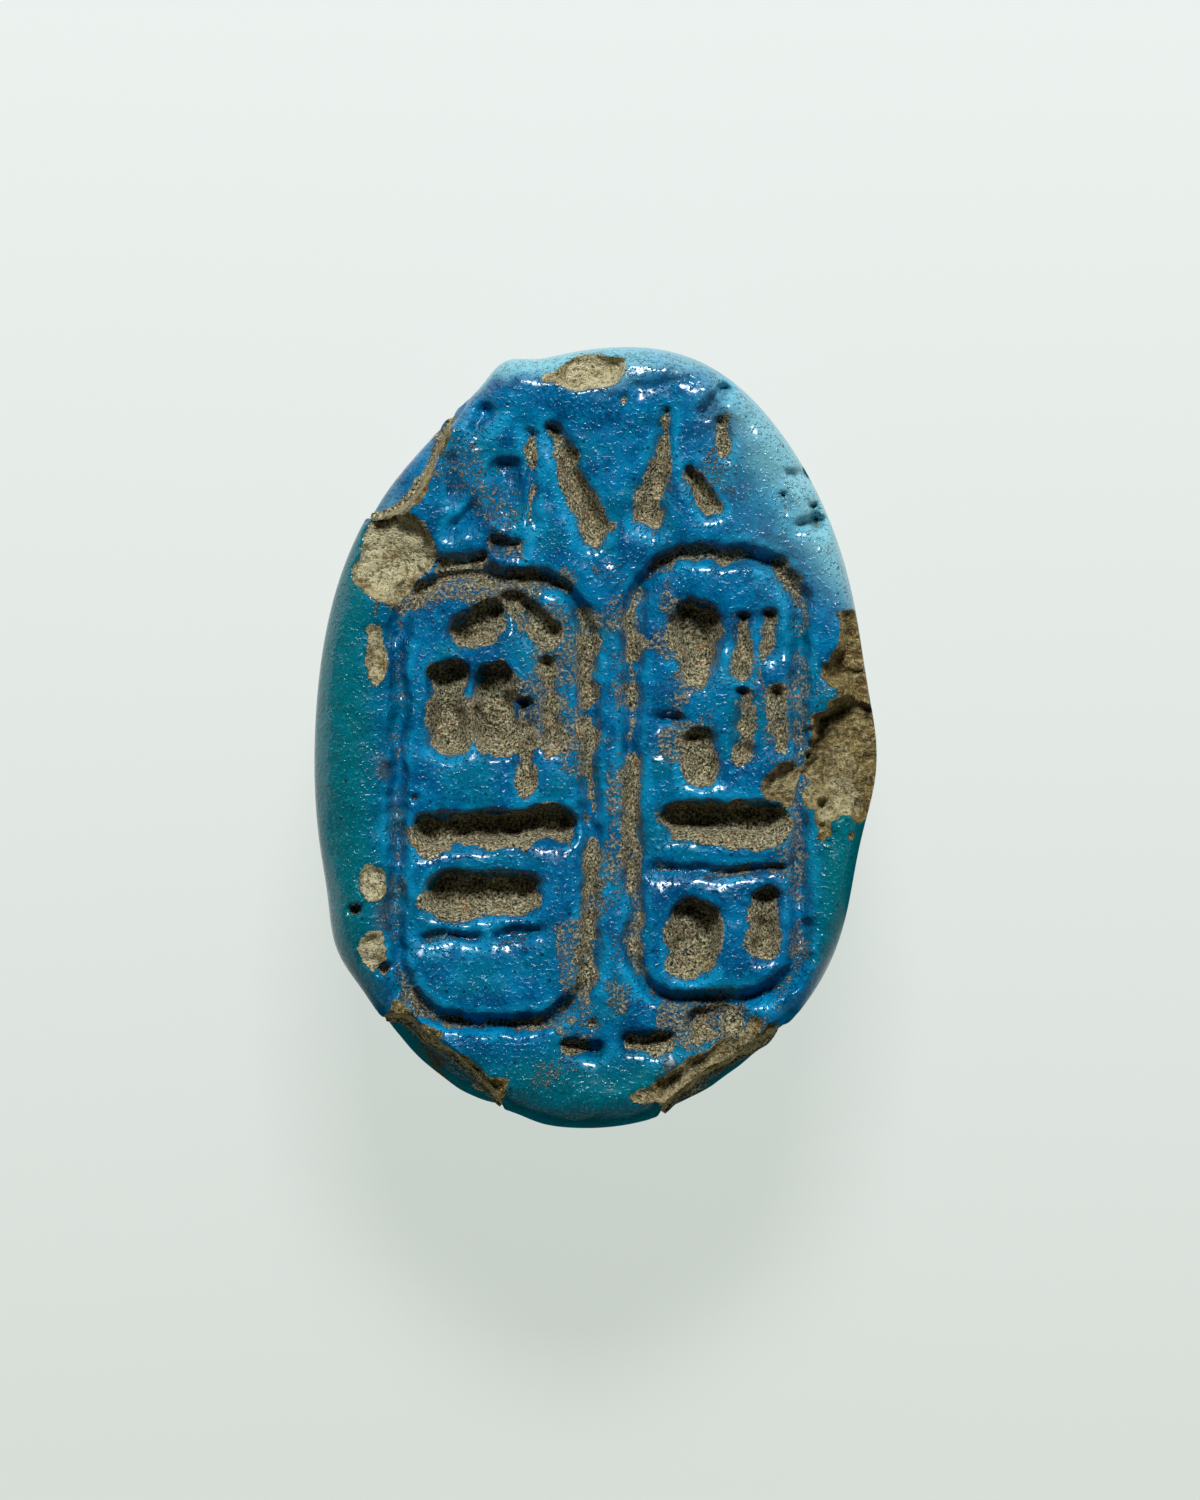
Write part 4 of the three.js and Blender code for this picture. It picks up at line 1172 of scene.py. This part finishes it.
# Heights in millimetres: pebbles and sparks of the glaze, sparks where it is frosty, crumbs of soil and core
PEBBLE_HEIGHT = 0.012
SPARK_HEIGHT = 0.009
SLOPE_SPARK_HEIGHT = 0.05
CRUMB_HEIGHT = 0.3
pebbles = add(tree, "Math", 0, {0: pattern["pebble"], 1: PEBBLE_HEIGHT}, operation="MULTIPLY")
clustered = add(tree, "Math", 0, {0: kept["frosty"], 1: pattern["cloud"]}, operation="MULTIPLY")
sockets = {"Value": clustered, "From Min": 0.2, "From Max": 0.5}
sockets |= {"To Min": SPARK_HEIGHT, "To Max": SLOPE_SPARK_HEIGHT}
spark_height = add(tree, "MapRange", 0, sockets, **SOFT)
sockets = {"Value": pattern["spark"], "From Min": 0.53, "From Max": 0.66, "To Max": spark_height}
sparks = add(tree, "MapRange", 0, sockets, **SOFT)
glazed = add(tree, "Math", 0, {0: sparks, 1: pebbles}, operation="ADD")
crumbly = add(tree, "Math", 0, {0: pattern["sand"], 1: CRUMB_HEIGHT}, operation="MULTIPLY")
relief = add(tree, "Mix", 0, {0: dull_share, 2: glazed, 3: crumbly})
bump = add(tree, "Bump", 0, {"Height": relief, "Distance": METRE, "Strength": 1.0})
sockets = {"Value": kept["stain"], "To Min": GLAZE_ROUGHNESS, "To Max": STAINED_ROUGHNESS}
glazed_roughness = add(tree, "MapRange", 0, sockets)
sockets = {"Value": dull_share, "To Min": glazed_roughness, "To Max": DULL_ROUGHNESS}
roughness = add(tree, "MapRange", 0, sockets)
specular = add(tree, "MapRange", 0, {"Value": kept["weathered"], "To Min": GLAZE_SPECULAR, "To Max": 0.0})
parts = {"Base Color": colour, "Roughness": roughness, "IOR": GLASS_IOR}
parts |= {"Specular IOR Level": specular, "Normal": bump}
shader = add(tree, "BsdfPrincipled", 0, parts)
add(tree, "OutputMaterial", 0, {"Surface": shader})
pierced.materials.clear()
pierced.materials.append(glaze_material)
print(f"glaze material: {len(tree.nodes)} nodes")

# %% [markdown]
# ## The floor
# The amulet was photographed on a plain white sheet lit so evenly that hardly any shadow shows. The floor
# is one large square that glows a little, and its glow also lights the amulet from below. It is a bit darker
# towards the foot of the picture, partly as the sheet fades and partly as a painted soft shadow of the amulet.
# %% Floor
FLOOR_HALF = 2000
SHEET_TOP = "#e8efeb"
# The colour at the foot is darkened partly as a painted soft shadow of the amulet.
SHEET_FOOT_AND_SHADOW = "#d4dcd5"
SHEET_REACH = 0.019
SHEET_GREY = 0.16
SHEET_GLOW = 0.85

corners = [(-FLOOR_HALF, -FLOOR_HALF, 0), (FLOOR_HALF, -FLOOR_HALF, 0)]
corners += [(FLOOR_HALF, FLOOR_HALF, 0), (-FLOOR_HALF, FLOOR_HALF, 0)]
floor = put("floor", mesh_of("floor", corners, [(0, 1, 2, 3)]))
sheet_material, sheet = new_material("plain white sheet")
sheet_place = add(sheet, "SeparateXYZ", "Y", {0: add(sheet, "TexCoord", "Object", {})})
sockets = {"Value": sheet_place, "From Min": -SHEET_REACH, "From Max": SHEET_REACH}
sockets = {0: add(sheet, "MapRange", 0, sockets), 6: light_of(SHEET_FOOT_AND_SHADOW), 7: light_of(SHEET_TOP)}
sheet_colour = add(sheet, "Mix", 2, sockets, **COLOUR_MIX)
parts = {"Base Color": (SHEET_GREY, SHEET_GREY, SHEET_GREY, 1), "Roughness": 1.0, "Specular IOR Level": 0.0}
parts |= {"Emission Color": sheet_colour, "Emission Strength": SHEET_GLOW}
add(sheet, "OutputMaterial", 0, {"Surface": add(sheet, "BsdfPrincipled", 0, parts)})
floor.data.materials.append(sheet_material)
print(f"floor: {2 * FLOOR_HALF * METRE:.0f} m square")

# %% [markdown]
# ## Light
# The shading says that the light came from the top of the picture. One large soft lamp stands there, a wide
# dim panel beside it gives the broad pale reflections, and the surroundings are dark overhead.
# %% Lamps and surroundings
LAMPS = [
    # name, degrees round from +Y towards +X, degrees up, metres away, width, height, watts
    ("key", 2, 50, 0.4, 0.13, 0.09, 1.7),
    ("panel", 20, 20, 0.5, 0.6, 0.16, 0.5),
]
ROOM = "#585c5e"
CEILING = "#141618"

for name, round_degrees, up_degrees, away, lamp_width, lamp_height, watts in LAMPS:
    lamp = bpy.data.lights.new(name, "AREA")
    lamp.shape = "RECTANGLE"
    lamp.size = lamp_width
    lamp.size_y = lamp_height
    lamp.energy = watts
    holder = put(name, lamp)
    turn, tilt = math.radians(round_degrees), math.radians(up_degrees)
    holder.location = (
        away * math.cos(tilt) * math.sin(turn),
        away * math.cos(tilt) * math.cos(turn),
        away * math.sin(tilt) + FACE_Z * METRE,
    )
    holder.rotation_euler = (math.pi / 2 - tilt, 0, math.pi - turn)

world = bpy.data.worlds.new("pale room, dark overhead")
world.use_nodes = True
sky = world.node_tree
sky.nodes.clear()
sky_height = add(sky, "SeparateXYZ", "Z", {0: add(sky, "TexCoord", "Generated", {})})
overhead = add(sky, "MapRange", 0, {"Value": sky_height, "From Min": 0.15, "From Max": 0.75}, **SOFT)
sky_colour = add(sky, "Mix", 2, {0: overhead, 6: light_of(ROOM), 7: light_of(CEILING)}, **COLOUR_MIX)
backdrop = add(sky, "Background", 0, {"Color": sky_colour, "Strength": 1.0})
add(sky, "OutputWorld", 0, {"Surface": backdrop})
bpy.context.scene.world = world
print(f"light: {len(LAMPS)} lamps")

# %% [markdown]
# ## Camera
# The photograph looks straight down on the seal face from far off. The picture is as high as 38.2 mm on the
# face, and its middle is a little to the right of and below the middle of the amulet.
# %% Camera
LENS = 200.0
SENSOR = 36.0
PICTURE_HEIGHT = 38.2
PICTURE_MIDDLE = (0.115, -0.3185)

view = bpy.data.cameras.new("view")
view.lens = LENS
view.sensor_fit = "VERTICAL"
view.sensor_height = SENSOR
view.clip_start = 0.01
camera = put("view", view)
away = PICTURE_HEIGHT * LENS / SENSOR
camera.location = np.array([*PICTURE_MIDDLE, FACE_Z + away]) * METRE
scene = bpy.context.scene
scene.camera = camera
scene.view_settings.view_transform = "Standard"
scene.view_settings.look = "None"
print(f"camera: {away / 1000:.2f} m above the seal face")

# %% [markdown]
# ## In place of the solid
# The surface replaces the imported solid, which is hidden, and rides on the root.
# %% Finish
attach(scarab, "root")
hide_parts(NODE)
